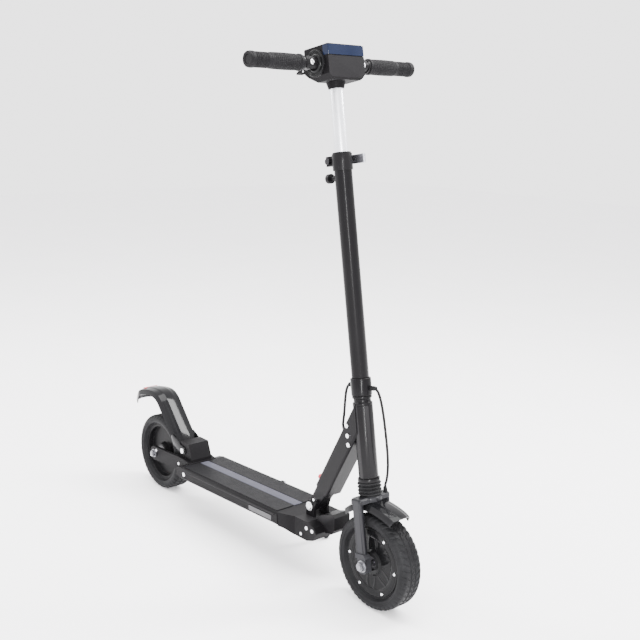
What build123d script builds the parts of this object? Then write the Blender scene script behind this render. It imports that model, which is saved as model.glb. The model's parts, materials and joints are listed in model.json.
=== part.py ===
from build123d import *
import os
from math import atan2, cos, pi, radians, sin, tan

# Folding electric kick scooter.
# Millimetres, +X forward, +Y to the rider's left, +Z up.
# Origin: on the ground, at the middle of the overall length and width.

# ---------------------------------------------------------------- driving sizes
wheel_radius = 100.0
tyre_width = 56.0
tread_width = 33.0
wheel_base = 823.0
tail_overhang = 112.0          # fender tail behind the rear axle
steering_rake = 9.7            # degrees, steering axis leaning back
fork_offset = 8.8              # axle ahead of the steering axis

deck_width = 135.0
deck_front_rise = 33.6         # deck top above the axles, at its front end
deck_rear_rise = 18.3          # deck top above the axles, at its rear end
deck_front_gap = wheel_radius + 156.0   # front axle to the deck shell
deck_rear_gap = wheel_radius + 73.0     # rear axle to the deck shell
deck_shell_height = 30.0
deck_wall = 3.5
deck_corner = 5.0

pivot_behind_axle = wheel_radius + 96.0   # fold pivot, from the front axle
pivot_rise = 58.0              # fold pivot above the front axle
strut_angle = 61.4             # degrees, slope of the neck strut
strut_width = 46.0
strut_depth = 40.0
strut_wall = 4.0

head_tube_radius = 20.5
head_tube_start = 174.0        # along the steering axis, from the axle's level
head_tube_length = 151.0
steerer_radius = 15.0
steerer_bore = 12.5
stem_radius = 18.0
stem_wall = 2.5
bar_level = 1009.0             # handlebar axis along the steering axis
stem_top = bar_level - 175.0
mast_radius = 13.75
mast_wall = 1.8
mast_bottom = stem_top - 234.0
handlebar_width = 428.0
bar_radius = 11.0
bar_wall = 2.0
grip_radius = 16.0
console_depth = 74.0
console_width = 94.0
console_bottom = bar_level - 35.0
console_top = bar_level + 33.0
console_split = bar_level + 10.0

# ---------------------------------------------------------------- clearances
running = 0.05                 # radial, shaft in bore
slip = 0.3                     # between pieces that pass each other
screw_radius = 2.0

# ---------------------------------------------------------------- frame points
overall_length = wheel_radius + wheel_base + tail_overhang
front_axle_x = overall_length / 2 - wheel_radius
rear_axle_x = front_axle_x - wheel_base
rake_cos = cos(radians(steering_rake))
rake_sin = sin(radians(steering_rake))
steer_up = Vector(-rake_sin, 0, rake_cos)
steer_forward = Vector(rake_cos, 0, rake_sin)
front_axle = Vector(front_axle_x, 0, wheel_radius)
rear_axle = Vector(rear_axle_x, 0, wheel_radius)
steer_origin = front_axle - steer_forward * fork_offset
fold_pivot = Vector(front_axle_x - pivot_behind_axle, 0, wheel_radius + pivot_rise)
deck_rear = Vector(rear_axle_x + deck_rear_gap, 0, wheel_radius + deck_rear_rise)
deck_front = Vector(front_axle_x - deck_front_gap, 0, wheel_radius + deck_front_rise)
deck_length = (deck_front - deck_rear).length
deck_along = (deck_front - deck_rear).normalized()
deck_slope = atan2(deck_along.Z, deck_along.X)

os.makedirs("parts", exist_ok=True)


def save(part, node):
    """Label a finished piece and write it as its own STEP file."""
    part.label = node
    export_step(part, f"parts/{node}.step")


def side_plane(y=0.0):
    """World side view: x to the right, z up, normal towards -Y."""
    return Plane(origin=(0, y, 0), x_dir=(1, 0, 0), z_dir=(0, -1, 0))


def steer_point(s, forward=0.0, side=0.0):
    return steer_origin + steer_up * s + steer_forward * forward + Vector(0, side, 0)


def steer_plane(s, forward=0.0, side=0.0):
    """Square to the steering axis: x forward, y to the left."""
    return Plane(origin=steer_point(s, forward, side), x_dir=steer_forward, z_dir=steer_up)


def steer_side(side=0.0):
    """Side view along the steering axis: x forward of it, y along it."""
    return Plane(origin=steer_origin + Vector(0, side, 0), x_dir=steer_forward, z_dir=(0, -1, 0))


def steer_cross(s, forward=0.0, side=0.0):
    """Normal along +Y, for bars: x forward, y down the axis."""
    return Plane(origin=steer_point(s, forward, side), x_dir=steer_forward, z_dir=(0, 1, 0))


def steer_front(forward, side=0.0):
    """Normal along the forward direction: x to the left, y up the axis."""
    return Plane(
        origin=steer_origin + steer_forward * forward + Vector(0, side, 0),
        x_dir=(0, 1, 0),
        z_dir=steer_forward,
    )


def deck_section(u=0.0, w=0.0):
    """Normal along the deck: x to the left, y up from the deck's top."""
    up = Vector(-sin(deck_slope), 0, cos(deck_slope))
    return Plane(origin=deck_rear + deck_along * u + up * w, x_dir=(0, 1, 0), z_dir=deck_along)


def deck_top(u=0.0, w=0.0):
    """Parallel to the deck's top: x along it, y to the left."""
    up = Vector(-sin(deck_slope), 0, cos(deck_slope))
    return Plane(origin=deck_rear + deck_along * u + up * w, x_dir=deck_along, z_dir=up)


def axle_profile(axle):
    """Half section of a wheel piece: x along the axle, y outward."""
    return Plane(origin=axle, x_dir=(0, 1, 0), z_dir=(1, 0, 0))


def axle_disc(axle, y):
    """Face of a wheel piece, normal along +Y."""
    return Plane(origin=axle + Vector(0, y, 0), x_dir=(1, 0, 0), z_dir=(0, 1, 0))


def rear_xz(dx, dz):
    return (rear_axle_x + dx, wheel_radius + dz)


def front_xz(dx, dz):
    return (front_axle_x + dx, wheel_radius + dz)


# ================================================================ wheels
rim_radius = 74.0
tyre_half = tyre_width / 2
tread_half = tread_width / 2


def make_tyre(axle, node):
    """Tyre with rounded sidewalls, two tread grooves and a nearly flat crown."""
    groove_at = tread_half * 0.5
    with BuildPart() as tyre:
        with BuildSketch(axle_profile(axle)):
            with BuildLine():
                bead = (17.0, rim_radius)
                shoulder = (tread_half, wheel_radius)
                belly = (tyre_half, (rim_radius + wheel_radius) / 2)
                Polyline((-bead[0], bead[1]), bead)
                ThreePointArc(bead, belly, (tyre_half - 3.0, wheel_radius - 4.5))
                Line((tyre_half - 3.0, wheel_radius - 4.5), shoulder)
                Line(shoulder, (-tread_half, wheel_radius))
                Line((-tread_half, wheel_radius), (-tyre_half + 3.0, wheel_radius - 4.5))
                ThreePointArc(
                    (-tyre_half + 3.0, wheel_radius - 4.5),
                    (-belly[0], belly[1]),
                    (-bead[0], bead[1]),
                )
            make_face()
        revolve(axis=Axis(axle, (0, 1, 0)))
        with BuildSketch(axle_profile(axle)):
            with Locations((groove_at, wheel_radius), (-groove_at, wheel_radius)):
                Rectangle(2.5, 4.0)
        revolve(axis=Axis(axle, (0, 1, 0)), mode=Mode.SUBTRACT)
    save(tyre.part, node)


make_tyre(front_axle, "front_tyre")
make_tyre(rear_axle, "rear_tyre")

rim_half = 17.0
cover_thickness = 3.0
cover_bolt_circle = 66.0
cover_bolt_count = 6
bearing_outer = 16.0
bearing_width = 8.0
front_axle_radius = 6.0
rear_axle_radius = 5.0
magnet_inner = 60.0
stator_radius = 59.2
hub_half = rim_half + cover_thickness

# Front hub motor: rim shell lined with the motor's magnet ring.
with BuildPart() as front_rim:
    with BuildSketch(axle_disc(front_axle, -rim_half)):
        Circle(rim_radius)
        Circle(magnet_inner, mode=Mode.SUBTRACT)
    extrude(amount=2 * rim_half)
    for y in (-rim_half, rim_half - 8.0):
        with BuildSketch(axle_disc(front_axle, y)):
            with PolarLocations(cover_bolt_circle, cover_bolt_count):
                Circle(screw_radius)
        extrude(amount=8.0, mode=Mode.SUBTRACT)
save(front_rim.part, "front_rim")


def make_covers(axle, node, with_bolts):
    """Two hub side covers, each with a bearing seat, a dished face and a rim step."""
    with BuildPart() as covers:
        for side in (1, -1):
            with BuildSketch(axle_profile(axle)):
                with BuildLine():
                    Polyline(
                        (side * (rim_half - bearing_width), bearing_outer),
                        (side * (rim_half - bearing_width), bearing_outer + 4.0),
                        (side * rim_half, bearing_outer + 6.0),
                        (side * rim_half, rim_radius - 1.0),
                        (side * (hub_half - 1.0), rim_radius - 1.0),
                        (side * hub_half, rim_radius - 2.5),
                        (side * hub_half, cover_bolt_circle - 9.0),
                        (side * (hub_half - 1.6), cover_bolt_circle - 13.0),
                        (side * (hub_half - 1.6), bearing_outer + 12.0),
                        (side * (hub_half + 3.0), bearing_outer + 7.0),
                        (side * (hub_half + 3.0), bearing_outer),
                        close=True,
                    )
                make_face()
            revolve(axis=Axis(axle, (0, 1, 0)))
            if with_bolts:
                with BuildSketch(axle_disc(axle, side * hub_half)):
                    with PolarLocations(cover_bolt_circle, cover_bolt_count):
                        Circle(screw_radius)
                extrude(amount=-side * cover_thickness, mode=Mode.SUBTRACT)
    save(covers.part, node)


make_covers(front_axle, "front_hub_covers", True)

with BuildPart() as hub_cover_bolts:
    for side in (1, -1):
        with BuildSketch(axle_disc(front_axle, side * hub_half)):
            with PolarLocations(cover_bolt_circle, cover_bolt_count):
                Circle(screw_radius)
        extrude(amount=-side * (cover_thickness + 6.0))
        with BuildSketch(axle_disc(front_axle, side * hub_half)):
            with PolarLocations(cover_bolt_circle, cover_bolt_count):
                Circle(3.6)
        extrude(amount=side * 1.8)
save(hub_cover_bolts.part, "hub_cover_bolts")


def make_bearings(axle, bore, node):
    """Pair of wheel bearings seated in the covers, running on the axle."""
    with BuildPart() as bearings:
        for side in (1, -1):
            with BuildSketch(axle_disc(axle, side * (rim_half - bearing_width))):
                Circle(bearing_outer)
                Circle(bore + running, mode=Mode.SUBTRACT)
            extrude(amount=side * bearing_width)
    save(bearings.part, node)


make_bearings(front_axle, front_axle_radius, "front_hub_bearings")
make_bearings(rear_axle, rear_axle_radius, "rear_hub_bearings")

stator_half = 7.5
stator_slots = 18
with BuildPart() as motor_stator:
    with BuildSketch(axle_disc(front_axle, -stator_half)):
        Circle(stator_radius)
        Circle(front_axle_radius, mode=Mode.SUBTRACT)
        with PolarLocations(stator_radius - 6.0, stator_slots):
            Rectangle(12.2, 5.0, mode=Mode.SUBTRACT)
    extrude(amount=2 * stator_half)
save(motor_stator.part, "motor_stator")

pod_inner = 30.5               # fork leg's inner face from the centre plane
pod_outer = 46.0
cheek_inner = 32.0
cheek_outer = 40.0


def make_axle(axle, radius, seat, nut_across, nut_thickness, node):
    """Through axle with a flanged hexagon nut against each outer seat."""
    with BuildPart() as rod:
        with BuildSketch(axle_disc(axle, -seat - nut_thickness - 2.5)):
            Circle(radius)
        extrude(amount=2 * (seat + nut_thickness + 2.5))
        for side in (1, -1):
            with BuildSketch(axle_disc(axle, side * seat)):
                Circle(nut_across * 0.72)
            extrude(amount=side * 2.0)
            with BuildSketch(axle_disc(axle, side * (seat + 2.0))):
                RegularPolygon(nut_across / 2, 6, major_radius=False)
            extrude(amount=side * (nut_thickness - 2.0))
    save(rod.part, node)


make_axle(front_axle, front_axle_radius, pod_outer, 17.0, 8.5, "front_axle")
make_axle(rear_axle, rear_axle_radius, cheek_outer, 15.0, 7.5, "rear_axle")

# Rear wheel: a cast disc rim between two covers.
with BuildPart() as rear_rim:
    with BuildSketch(axle_profile(rear_axle)):
        with BuildLine():
            Polyline(
                (-rim_half, rim_radius),
                (rim_half, rim_radius),
                (rim_half, rim_radius - 6.0),
                (4.0, rim_radius - 9.0),
                (4.0, bearing_outer + 8.0),
                (rim_half, bearing_outer + 4.0),
                (rim_half, bearing_outer),
                (rim_half - bearing_width, bearing_outer),
                (rim_half - bearing_width, rear_axle_radius + 3.0),
                (-rim_half + bearing_width, rear_axle_radius + 3.0),
                (-rim_half + bearing_width, bearing_outer),
                (-rim_half, bearing_outer),
                (-rim_half, bearing_outer + 4.0),
                (-4.0, bearing_outer + 8.0),
                (-4.0, rim_radius - 9.0),
                (-rim_half, rim_radius - 6.0),
                close=True,
            )
        make_face()
    revolve(axis=Axis(rear_axle, (0, 1, 0)))
save(rear_rim.part, "rear_rim")

# ================================================================ deck
with BuildPart() as deck_shell:
    with BuildSketch(deck_section()):
        with Locations((0, -deck_shell_height / 2)):
            RectangleRounded(deck_width, deck_shell_height, deck_corner)
        with Locations((0, -deck_shell_height / 2)):
            Rectangle(deck_width - 2 * deck_wall, deck_shell_height - 2 * deck_wall, mode=Mode.SUBTRACT)
        with Locations((0, -deck_shell_height + deck_wall / 2)):
            Rectangle(deck_width - 28.0, deck_wall, mode=Mode.SUBTRACT)
    extrude(amount=deck_length)
save(deck_shell.part, "deck_shell")

cover_margin = 8.0
cover_screw_rows = 5
cover_screw_pitch = (deck_length - 50.0) / (cover_screw_rows - 1)
cover_screw_spread = deck_width - 22.0
cover_plate = 2.5
with BuildPart() as deck_cover:
    with BuildSketch(deck_top(deck_length / 2, -deck_shell_height)):
        RectangleRounded(deck_length - 2.0, deck_width - 2 * cover_margin + 2.0, 6.0)
        with GridLocations(cover_screw_pitch, cover_screw_spread, cover_screw_rows, 2):
            Circle(screw_radius, mode=Mode.SUBTRACT)
    extrude(amount=-cover_plate)
save(deck_cover.part, "deck_cover")

with BuildPart() as deck_cover_screws:
    with BuildSketch(deck_top(deck_length / 2, -deck_shell_height)):
        with GridLocations(cover_screw_pitch, cover_screw_spread, cover_screw_rows, 2):
            Circle(screw_radius)
    extrude(amount=-cover_plate)
    with BuildSketch(deck_top(deck_length / 2, -deck_shell_height - cover_plate)):
        with GridLocations(cover_screw_pitch, cover_screw_spread, cover_screw_rows, 2):
            Circle(3.8)
    extrude(amount=-1.6)

mat_thickness = 1.6
mat_inner = 13.5
mat_outer = deck_width / 2 - deck_corner - 1.0
mat_middle = (mat_inner + mat_outer) / 2
mat_span = mat_outer - mat_inner
with BuildPart() as grip_mat:
    with BuildSketch(deck_top(deck_length / 2)):
        with Locations((0, mat_middle), (0, -mat_middle)):
            RectangleRounded(deck_length - 14.0, mat_span, 3.0)
    extrude(amount=mat_thickness)
save(grip_mat.part, "grip_mat")

with BuildPart() as grip_strip:
    with BuildSketch(deck_top(deck_length / 2)):
        Rectangle(deck_length - 14.0, 2 * mat_inner - 3.0)
    extrude(amount=mat_thickness)
save(grip_strip.part, "grip_strip")

pack_clear = 1.5
inner_height = deck_shell_height - 2 * deck_wall
controller_length = 84.0
battery_length = deck_length - controller_length - 40.0
with BuildPart() as battery_pack:
    with BuildSketch(deck_top(12.0 + battery_length / 2, -deck_wall - inner_height)):
        RectangleRounded(battery_length, deck_width - 2 * deck_wall - 8.0, 8.0)
    extrude(amount=inner_height - pack_clear)
save(battery_pack.part, "battery_pack")

with BuildPart() as motor_controller:
    controller_at = 12.0 + battery_length + 10.0 + controller_length / 2
    with BuildSketch(deck_top(controller_at, -deck_wall - inner_height)):
        Rectangle(controller_length, 78.0)
    extrude(amount=14.0)
    with BuildSketch(deck_top(controller_at, -deck_wall - inner_height + 14.0)):
        with GridLocations(9.0, 0, 8, 1):
            Rectangle(3.0, 78.0)
    extrude(amount=5.0)

# Charge socket on the left wall of the deck, with a hinged rubber cap.
socket_u = deck_length - 150.0
socket_radius = 8.0
socket_bore = 4.0
socket_drop = deck_shell_height / 2
cap_thickness = 2.5
cap_reach = deck_width / 2 + 1.5 + slip
cap_axis = cap_reach + cap_thickness / 2
cap_knuckle = 1.7
cap_pin = 0.9
cap_tab = 8.0
cap_hinge_rise = socket_radius + 4.7


def deck_side(u, w, y):
    """Face of the deck's left wall: normal +Y, x back along the deck, y up."""
    up = Vector(-sin(deck_slope), 0, cos(deck_slope))
    origin = deck_rear + deck_along * u + up * w + Vector(0, y, 0)
    return Plane(origin=origin, x_dir=-deck_along, z_dir=(0, 1, 0))


with BuildPart() as charge_socket:
    with BuildSketch(deck_side(socket_u, -socket_drop, deck_width / 2)):
        Circle(socket_radius)
        Circle(socket_bore, mode=Mode.SUBTRACT)
    extrude(amount=1.5)
    # two lugs on the wall and the pin they hold
    for end in (1, -1):
        with BuildSketch(deck_section(socket_u + end * (cap_tab / 2 + slip))):
            with Locations((cap_axis, cap_hinge_rise - socket_drop)):
                Circle(cap_knuckle)
            with Locations(((deck_width / 2 + cap_axis) / 2, cap_hinge_rise - socket_drop)):
                Rectangle(cap_axis - deck_width / 2, 2 * cap_knuckle)
        extrude(amount=end * 2.0)
    with BuildSketch(deck_section(socket_u - cap_tab / 2 - slip)):
        with Locations((cap_axis, cap_hinge_rise - socket_drop)):
            Circle(cap_pin)
    extrude(amount=cap_tab + 2 * slip)
save(motor_controller.part + charge_socket.part, "motor_controller")

with BuildPart() as charge_cap:
    with BuildSketch(deck_side(socket_u, -socket_drop, cap_reach)):
        Circle(socket_radius + 1.0)
        with Locations((0, cap_hinge_rise / 2)):
            Rectangle(cap_tab, cap_hinge_rise)
    extrude(amount=cap_thickness)
    with BuildSketch(deck_section(socket_u - cap_tab / 2)):
        with Locations((cap_axis, cap_hinge_rise - socket_drop)):
            Circle(cap_knuckle)
    extrude(amount=cap_tab)
    with BuildSketch(deck_section(socket_u - cap_tab / 2)):
        with Locations((cap_axis, cap_hinge_rise - socket_drop)):
            Circle(cap_pin + running)
    extrude(amount=cap_tab, mode=Mode.SUBTRACT)
save(charge_cap.part, "charge_cap")

# ---------------------------------------------------------------- front hinge casting
casting_half = 50.0
ear_inner = 15.3
ear_outer = 22.0
ear_radius = 13.0
fold_pin_radius = 5.0
lock_pin_radius = 3.0
lock_pin_reach = 20.0
horn_radius = 4.0
nose_half = 22.0
horn_angle = strut_angle - 20.4
pivot_x = fold_pivot.X
pivot_z = fold_pivot.Z
cast_top = wheel_radius + deck_front_rise


def deck_xz(u, w):
    """Point of the deck's middle plane as (x, z): u along its top, w above it."""
    point = deck_top(u, w).origin
    return (point.X, point.Z)



with BuildPart() as front_casting:
    with BuildSketch(side_plane()):
        with BuildLine():
            Polyline(
                deck_xz(deck_length, 0),
                (pivot_x - 14.0, cast_top + 1.5),
                (pivot_x + 24.0, cast_top + 2.0),
                (pivot_x + 46.0, cast_top - 4.0),
                (pivot_x + 54.0, cast_top - 16.0),
                (pivot_x + 46.0, cast_top - 33.0),
                (pivot_x + 24.0, cast_top - 41.0),
                (pivot_x - 20.0, cast_top - 41.5),
                deck_xz(deck_length + 14.0, -deck_shell_height - 4.0),
                deck_xz(deck_length, -deck_shell_height - 1.5),
                close=True,
            )
        make_face()
    extrude(amount=deck_width / 2 - 1.0, both=True)
    with BuildSketch(Plane.XY):
        with BuildLine():
            Polyline(
                (deck_front.X - 2.0, deck_width / 2 - 1.0),
                (pivot_x - 18.0, casting_half),
                (pivot_x + 60.0, casting_half),
                (pivot_x + 60.0, -casting_half),
                (pivot_x - 18.0, -casting_half),
                (deck_front.X - 2.0, -deck_width / 2 + 1.0),
                close=True,
            )
        make_face()
    extrude(amount=3 * wheel_radius, mode=Mode.INTERSECT)
    # nose reaching forward towards the wheel
    with BuildSketch(side_plane()):
        with BuildLine():
            Polyline(
                (pivot_x + 18.0, cast_top - 3.0),
                (pivot_x + 38.0, pivot_z - 8.0),
                (pivot_x + 74.0, pivot_z + 4.0),
                (pivot_x + 81.0, pivot_z - 2.0),
                (pivot_x + 81.0, pivot_z - 30.0),
                (pivot_x + 76.0, pivot_z - 38.0),
                (pivot_x + 44.0, pivot_z - 47.0),
                (pivot_x + 24.0, pivot_z - 40.0),
                close=True,
            )
        make_face()
    extrude(amount=nose_half, both=True)
    # two ears that carry the fold pin, each with a horn that seats the lock pin
    with BuildSketch(side_plane()):
        with BuildLine():
            Polyline(
                (pivot_x - ear_radius, cast_top - 4.0),
                (pivot_x - ear_radius, pivot_z),
                (pivot_x + ear_radius, pivot_z),
                (pivot_x + ear_radius, cast_top - 4.0),
                close=True,
            )
        make_face()
        with Locations((pivot_x, pivot_z)):
            Circle(ear_radius)
        with BuildLine():
            horn_x = pivot_x + lock_pin_reach * cos(radians(horn_angle))
            horn_z = pivot_z + lock_pin_reach * sin(radians(horn_angle))
            Polyline(
                (pivot_x, pivot_z),
                (horn_x - 1.5, horn_z + 3.0),
                (horn_x + 3.0, horn_z - 2.0),
                (pivot_x + ear_radius, pivot_z - 6.0),
                close=True,
            )
        make_face()
        with Locations((horn_x, horn_z)):
            Circle(horn_radius)
        with Locations((pivot_x, pivot_z)):
            Circle(fold_pin_radius, mode=Mode.SUBTRACT)
    extrude(amount=ear_outer, both=True)
    with BuildSketch(side_plane()):
        with Locations((pivot_x, pivot_z)):
            Circle(lock_pin_reach + 8.0)
    extrude(amount=ear_inner, both=True, mode=Mode.SUBTRACT)
save(front_casting.part, "front_casting")

with BuildPart() as fold_pin:
    with BuildSketch(side_plane()):
        with Locations((pivot_x, pivot_z)):
            Circle(fold_pin_radius)
    extrude(amount=ear_outer, both=True)
    for side in (1, -1):
        with BuildSketch(side_plane(side * ear_outer)):
            with Locations((pivot_x, pivot_z)):
                Circle(10.0)
        extrude(amount=-side * 3.5)
        with BuildSketch(side_plane(side * (ear_outer + 3.5))):
            with Locations((pivot_x, pivot_z)):
                RegularPolygon(6.5, 6, major_radius=False)
        extrude(amount=-side * 2.5)
save(fold_pin.part, "fold_pin")

# Screws that hold the casting to the deck, on both of its sides.
with BuildPart() as casting_bolts:
    for side in (1, -1):
        with BuildSketch(side_plane(side * casting_half)):
            with Locations((pivot_x + 24.0, cast_top - 11.0), (pivot_x + 43.0, cast_top - 12.0)):
                Circle(4.2)
            with Locations((pivot_x + 6.0, cast_top - 30.0)):
                Circle(3.4)
        extrude(amount=-side * 2.4)

# Reflector strips low on both sides of the deck, near its front.
with BuildPart() as side_reflectors:
    for side in (1, -1):
        base = deck_section(deck_length - 62.0, 0).origin
        with BuildSketch(Plane(origin=base, x_dir=deck_along, z_dir=(0, side, 0)).offset(deck_width / 2)):
            with Locations((0, side * (deck_shell_height / 2 + 3.0))):
                RectangleRounded(84.0, 11.0, 2.0)
        extrude(amount=1.0)
save(side_reflectors.part, "side_reflectors")

# ---------------------------------------------------------------- rear frame
tyre_room = wheel_radius + 10.0
block_top = 64.0               # fender block above the axle
fender_pin_dx = 131.0
fender_pin_dz = 43.0
fender_pin_radius = 3.5
block_half = 30.0
cheek_thickness = cheek_outer - cheek_inner
drop_radius = 19.0
deck_low = deck_rear_rise - deck_shell_height

with BuildPart() as rear_frame:
    # cross block closing the deck's rear end
    with BuildSketch(side_plane()):
        with BuildLine():
            Polyline(
                deck_xz(0, 1.0),
                rear_xz(deck_rear_gap - 30.0, deck_rear_rise + 6.0),
                rear_xz(tyre_room, deck_rear_rise + 6.0),
                rear_xz(tyre_room, deck_low + 3.0),
                rear_xz(tyre_room + 8.0, deck_low - 1.0),
                deck_xz(0, -deck_shell_height - 1.0),
                close=True,
            )
        make_face()
    extrude(amount=cheek_outer, both=True)
    with BuildSketch(side_plane()):
        with BuildLine():
            Polyline(
                deck_xz(0, 0),
                rear_xz(deck_rear_gap - 22.0, deck_rear_rise - 5.0),
                rear_xz(deck_rear_gap - 22.0, deck_low + 5.0),
                deck_xz(0, -deck_shell_height),
                close=True,
            )
        make_face()
    extrude(amount=deck_width / 2 - 1.5, both=True)
    # cheeks down both sides of the wheel to the axle
    for side in (1, -1):
        with BuildSketch(side_plane(side * cheek_inner)):
            with BuildLine():
                Polyline(
                    rear_xz(deck_rear_gap - 20.0, deck_rear_rise + 4.0),
                    rear_xz(tyre_room + 6.0, deck_rear_rise + 6.0),
                    rear_xz(3.0, drop_radius - 0.3),
                    rear_xz(3.0, -drop_radius + 0.3),
                    rear_xz(tyre_room + 6.0, deck_low + 1.0),
                    rear_xz(deck_rear_gap - 20.0, deck_low + 2.0),
                    close=True,
                )
            make_face()
            with Locations(rear_xz(0, 0)):
                Circle(drop_radius)
                Circle(rear_axle_radius, mode=Mode.SUBTRACT)
        extrude(amount=-side * cheek_thickness)

with BuildPart() as fender_block:
    with BuildSketch(side_plane()):
        with BuildLine():
            Polyline(
                rear_xz(tyre_room, deck_rear_rise + 6.0),
                rear_xz(tyre_room, block_top - 6.0),
                rear_xz(tyre_room + 5.0, block_top),
                rear_xz(tyre_room + 42.0, block_top),
                rear_xz(tyre_room + 51.0, block_top - 22.0),
                rear_xz(deck_rear_gap - 6.0, deck_rear_rise + 8.0),
                rear_xz(deck_rear_gap - 6.0, deck_rear_rise + 2.0),
                rear_xz(deck_rear_gap - 30.0, deck_rear_rise + 6.0),
                close=True,
            )
        make_face()
        with Locations(rear_xz(fender_pin_dx, fender_pin_dz)):
            Circle(fender_pin_radius, mode=Mode.SUBTRACT)
    extrude(amount=block_half, both=True)
save(rear_frame.part + fender_block.part, "rear_frame")

fender_half = 33.0
fender_ear = 3.0
with BuildPart() as fender_pin:
    with BuildSketch(side_plane()):
        with Locations(rear_xz(fender_pin_dx, fender_pin_dz)):
            Circle(fender_pin_radius)
    extrude(amount=fender_half + 1.0, both=True)
    for side in (1, -1):
        with BuildSketch(side_plane(side * (fender_half + 1.0))):
            with Locations(rear_xz(fender_pin_dx, fender_pin_dz)):
                Circle(6.5)
        extrude(amount=-side * 3.0)

with BuildPart() as rear_frame_bolts:
    for side in (1, -1):
        with BuildSketch(side_plane(side * cheek_outer)):
            with Locations(rear_xz(tyre_room + 14.0, 8.0), rear_xz(14.0, 12.0), rear_xz(-12.0, -8.0)):
                Circle(3.6)
        extrude(amount=-side * 3.0)
        with BuildSketch(side_plane(side * deck_width / 2)):
            with Locations(rear_xz(deck_rear_gap + 18.0, deck_rear_rise / 2 - 4.0)):
                Circle(5.2)
        extrude(amount=-side * 2.6)
save(
    deck_cover_screws.part + casting_bolts.part + rear_frame_bolts.part + fender_pin.part,
    "deck_fasteners",
)

# ---------------------------------------------------------------- rear fender and foot brake
fender_radius = tyre_room
fender_sheet = 2.5
hug_start = 22.0
hug_end = 42.0


def axle_polar(radius, angle):
    return rear_xz(radius * cos(radians(angle)), radius * sin(radians(angle)))


with BuildPart() as rear_fender:
    with BuildSketch(side_plane()):
        with BuildLine():
            hug = CenterArc(rear_xz(0, 0), fender_radius, hug_start, hug_end - hug_start)
            rise = Line(hug @ 1, hug @ 1 + (hug % 1) * 93.0)
            crest = JernArc(rise @ 1, rise % 1, 58.0, 180.0 - hug_end - 90.0)
            back = JernArc(crest @ 1, crest % 1, 195.9, 20.0)
            hook = JernArc(back @ 1, back % 1, 20.0, 45.0)
            Line(hook @ 1, hook @ 1 + (hook % 1) * 24.0)
            offset(amount=fender_sheet, side=Side.LEFT, closed=True)
        make_face()
    extrude(amount=fender_half, both=True)
    # side ears reaching forward to the hinge pin
    for side in (1, -1):
        with BuildSketch(side_plane(side * (fender_half - fender_ear))):
            with BuildLine():
                Polyline(
                    rear_xz(fender_pin_dx - 36.0, fender_pin_dz - 10.0),
                    rear_xz(fender_pin_dx, fender_pin_dz - 10.0),
                    rear_xz(fender_pin_dx, fender_pin_dz + 10.0),
                    axle_polar(fender_radius - 0.6, hug_end - 2.0),
                    axle_polar(fender_radius - 9.0, hug_end - 2.0),
                    close=True,
                )
            make_face()
            with Locations(rear_xz(fender_pin_dx, fender_pin_dz)):
                Circle(10.0)
            with Locations(rear_xz(fender_pin_dx, fender_pin_dz)):
                Circle(fender_pin_radius + running, mode=Mode.SUBTRACT)
        extrude(amount=-side * fender_ear)
save(rear_fender.part, "rear_fender")
fender_tail_point = back @ 1

pad_half = 14.0
pad_start = 30.0
pad_sweep = 11.0
pad_thickness = 3.5
with BuildPart() as brake_pad:
    with BuildSketch(side_plane()):
        with BuildLine():
            outer = CenterArc(rear_xz(0, 0), fender_radius - fender_sheet, pad_start, pad_sweep)
            inner = CenterArc(
                rear_xz(0, 0), fender_radius - fender_sheet - pad_thickness, pad_start, pad_sweep
            )
            Line(outer @ 0, inner @ 0)
            Line(outer @ 1, inner @ 1)
        make_face()
    extrude(amount=pad_half, both=True)
save(brake_pad.part, "brake_pad")

# Tail light on the end of the fender, following its slope.
tail_turn = 200.0
tail_dir = Vector(cos(radians(tail_turn)), 0, sin(radians(tail_turn)))
tail_up = Vector(sin(radians(tail_turn)), 0, -cos(radians(tail_turn)))
light_at = Vector(fender_tail_point.X, 0, fender_tail_point.Y)
with BuildPart() as tail_light:
    with BuildSketch(Plane(origin=light_at - tail_dir * 8.0, x_dir=tail_dir, z_dir=tail_up)):
        RectangleRounded(13.0, 40.0, 4.0)
    extrude(amount=6.0)
    fillet(tail_light.faces().sort_by(Axis.Z)[-1].edges(), 1.2)
save(tail_light.part, "tail_light")

# ---------------------------------------------------------------- kickstand
stand_pivot_back = 300.0       # behind the front axle
stand_pivot_side = deck_width / 2 - 17.5
stand_foot_side = 124.0
stand_foot_back = 8.0
stand_leg_radius = 5.5
stand_foot_radius = 9.0
stand_drop = 13.5
stand_bolt_radius = 3.0
under_w = -deck_shell_height - cover_plate
stand_u = deck_length - (stand_pivot_back - deck_front_gap)
stand_deck = deck_top(stand_u, under_w).origin
stand_pivot = Vector(stand_deck.X, stand_pivot_side, stand_deck.Z - stand_drop)
stand_foot = Vector(stand_pivot.X - stand_foot_back, stand_foot_side, stand_foot_radius)
stand_reach = (stand_foot - stand_pivot).length
stand_down = (stand_foot - stand_pivot).normalized()
stand_stowed = Vector(-stand_reach, 4.0, -stand_reach * tan(deck_slope)).normalized()
stand_axis = stand_down.cross(stand_stowed).normalized()
stand_hub_radius = 8.0
stand_hub_half = stand_leg_radius + 0.5


def stand_plane(along_axis):
    """Square to the kickstand's hinge: x down the leg."""
    return Plane(origin=stand_pivot + stand_axis * along_axis, x_dir=stand_down, z_dir=stand_axis)


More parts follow.
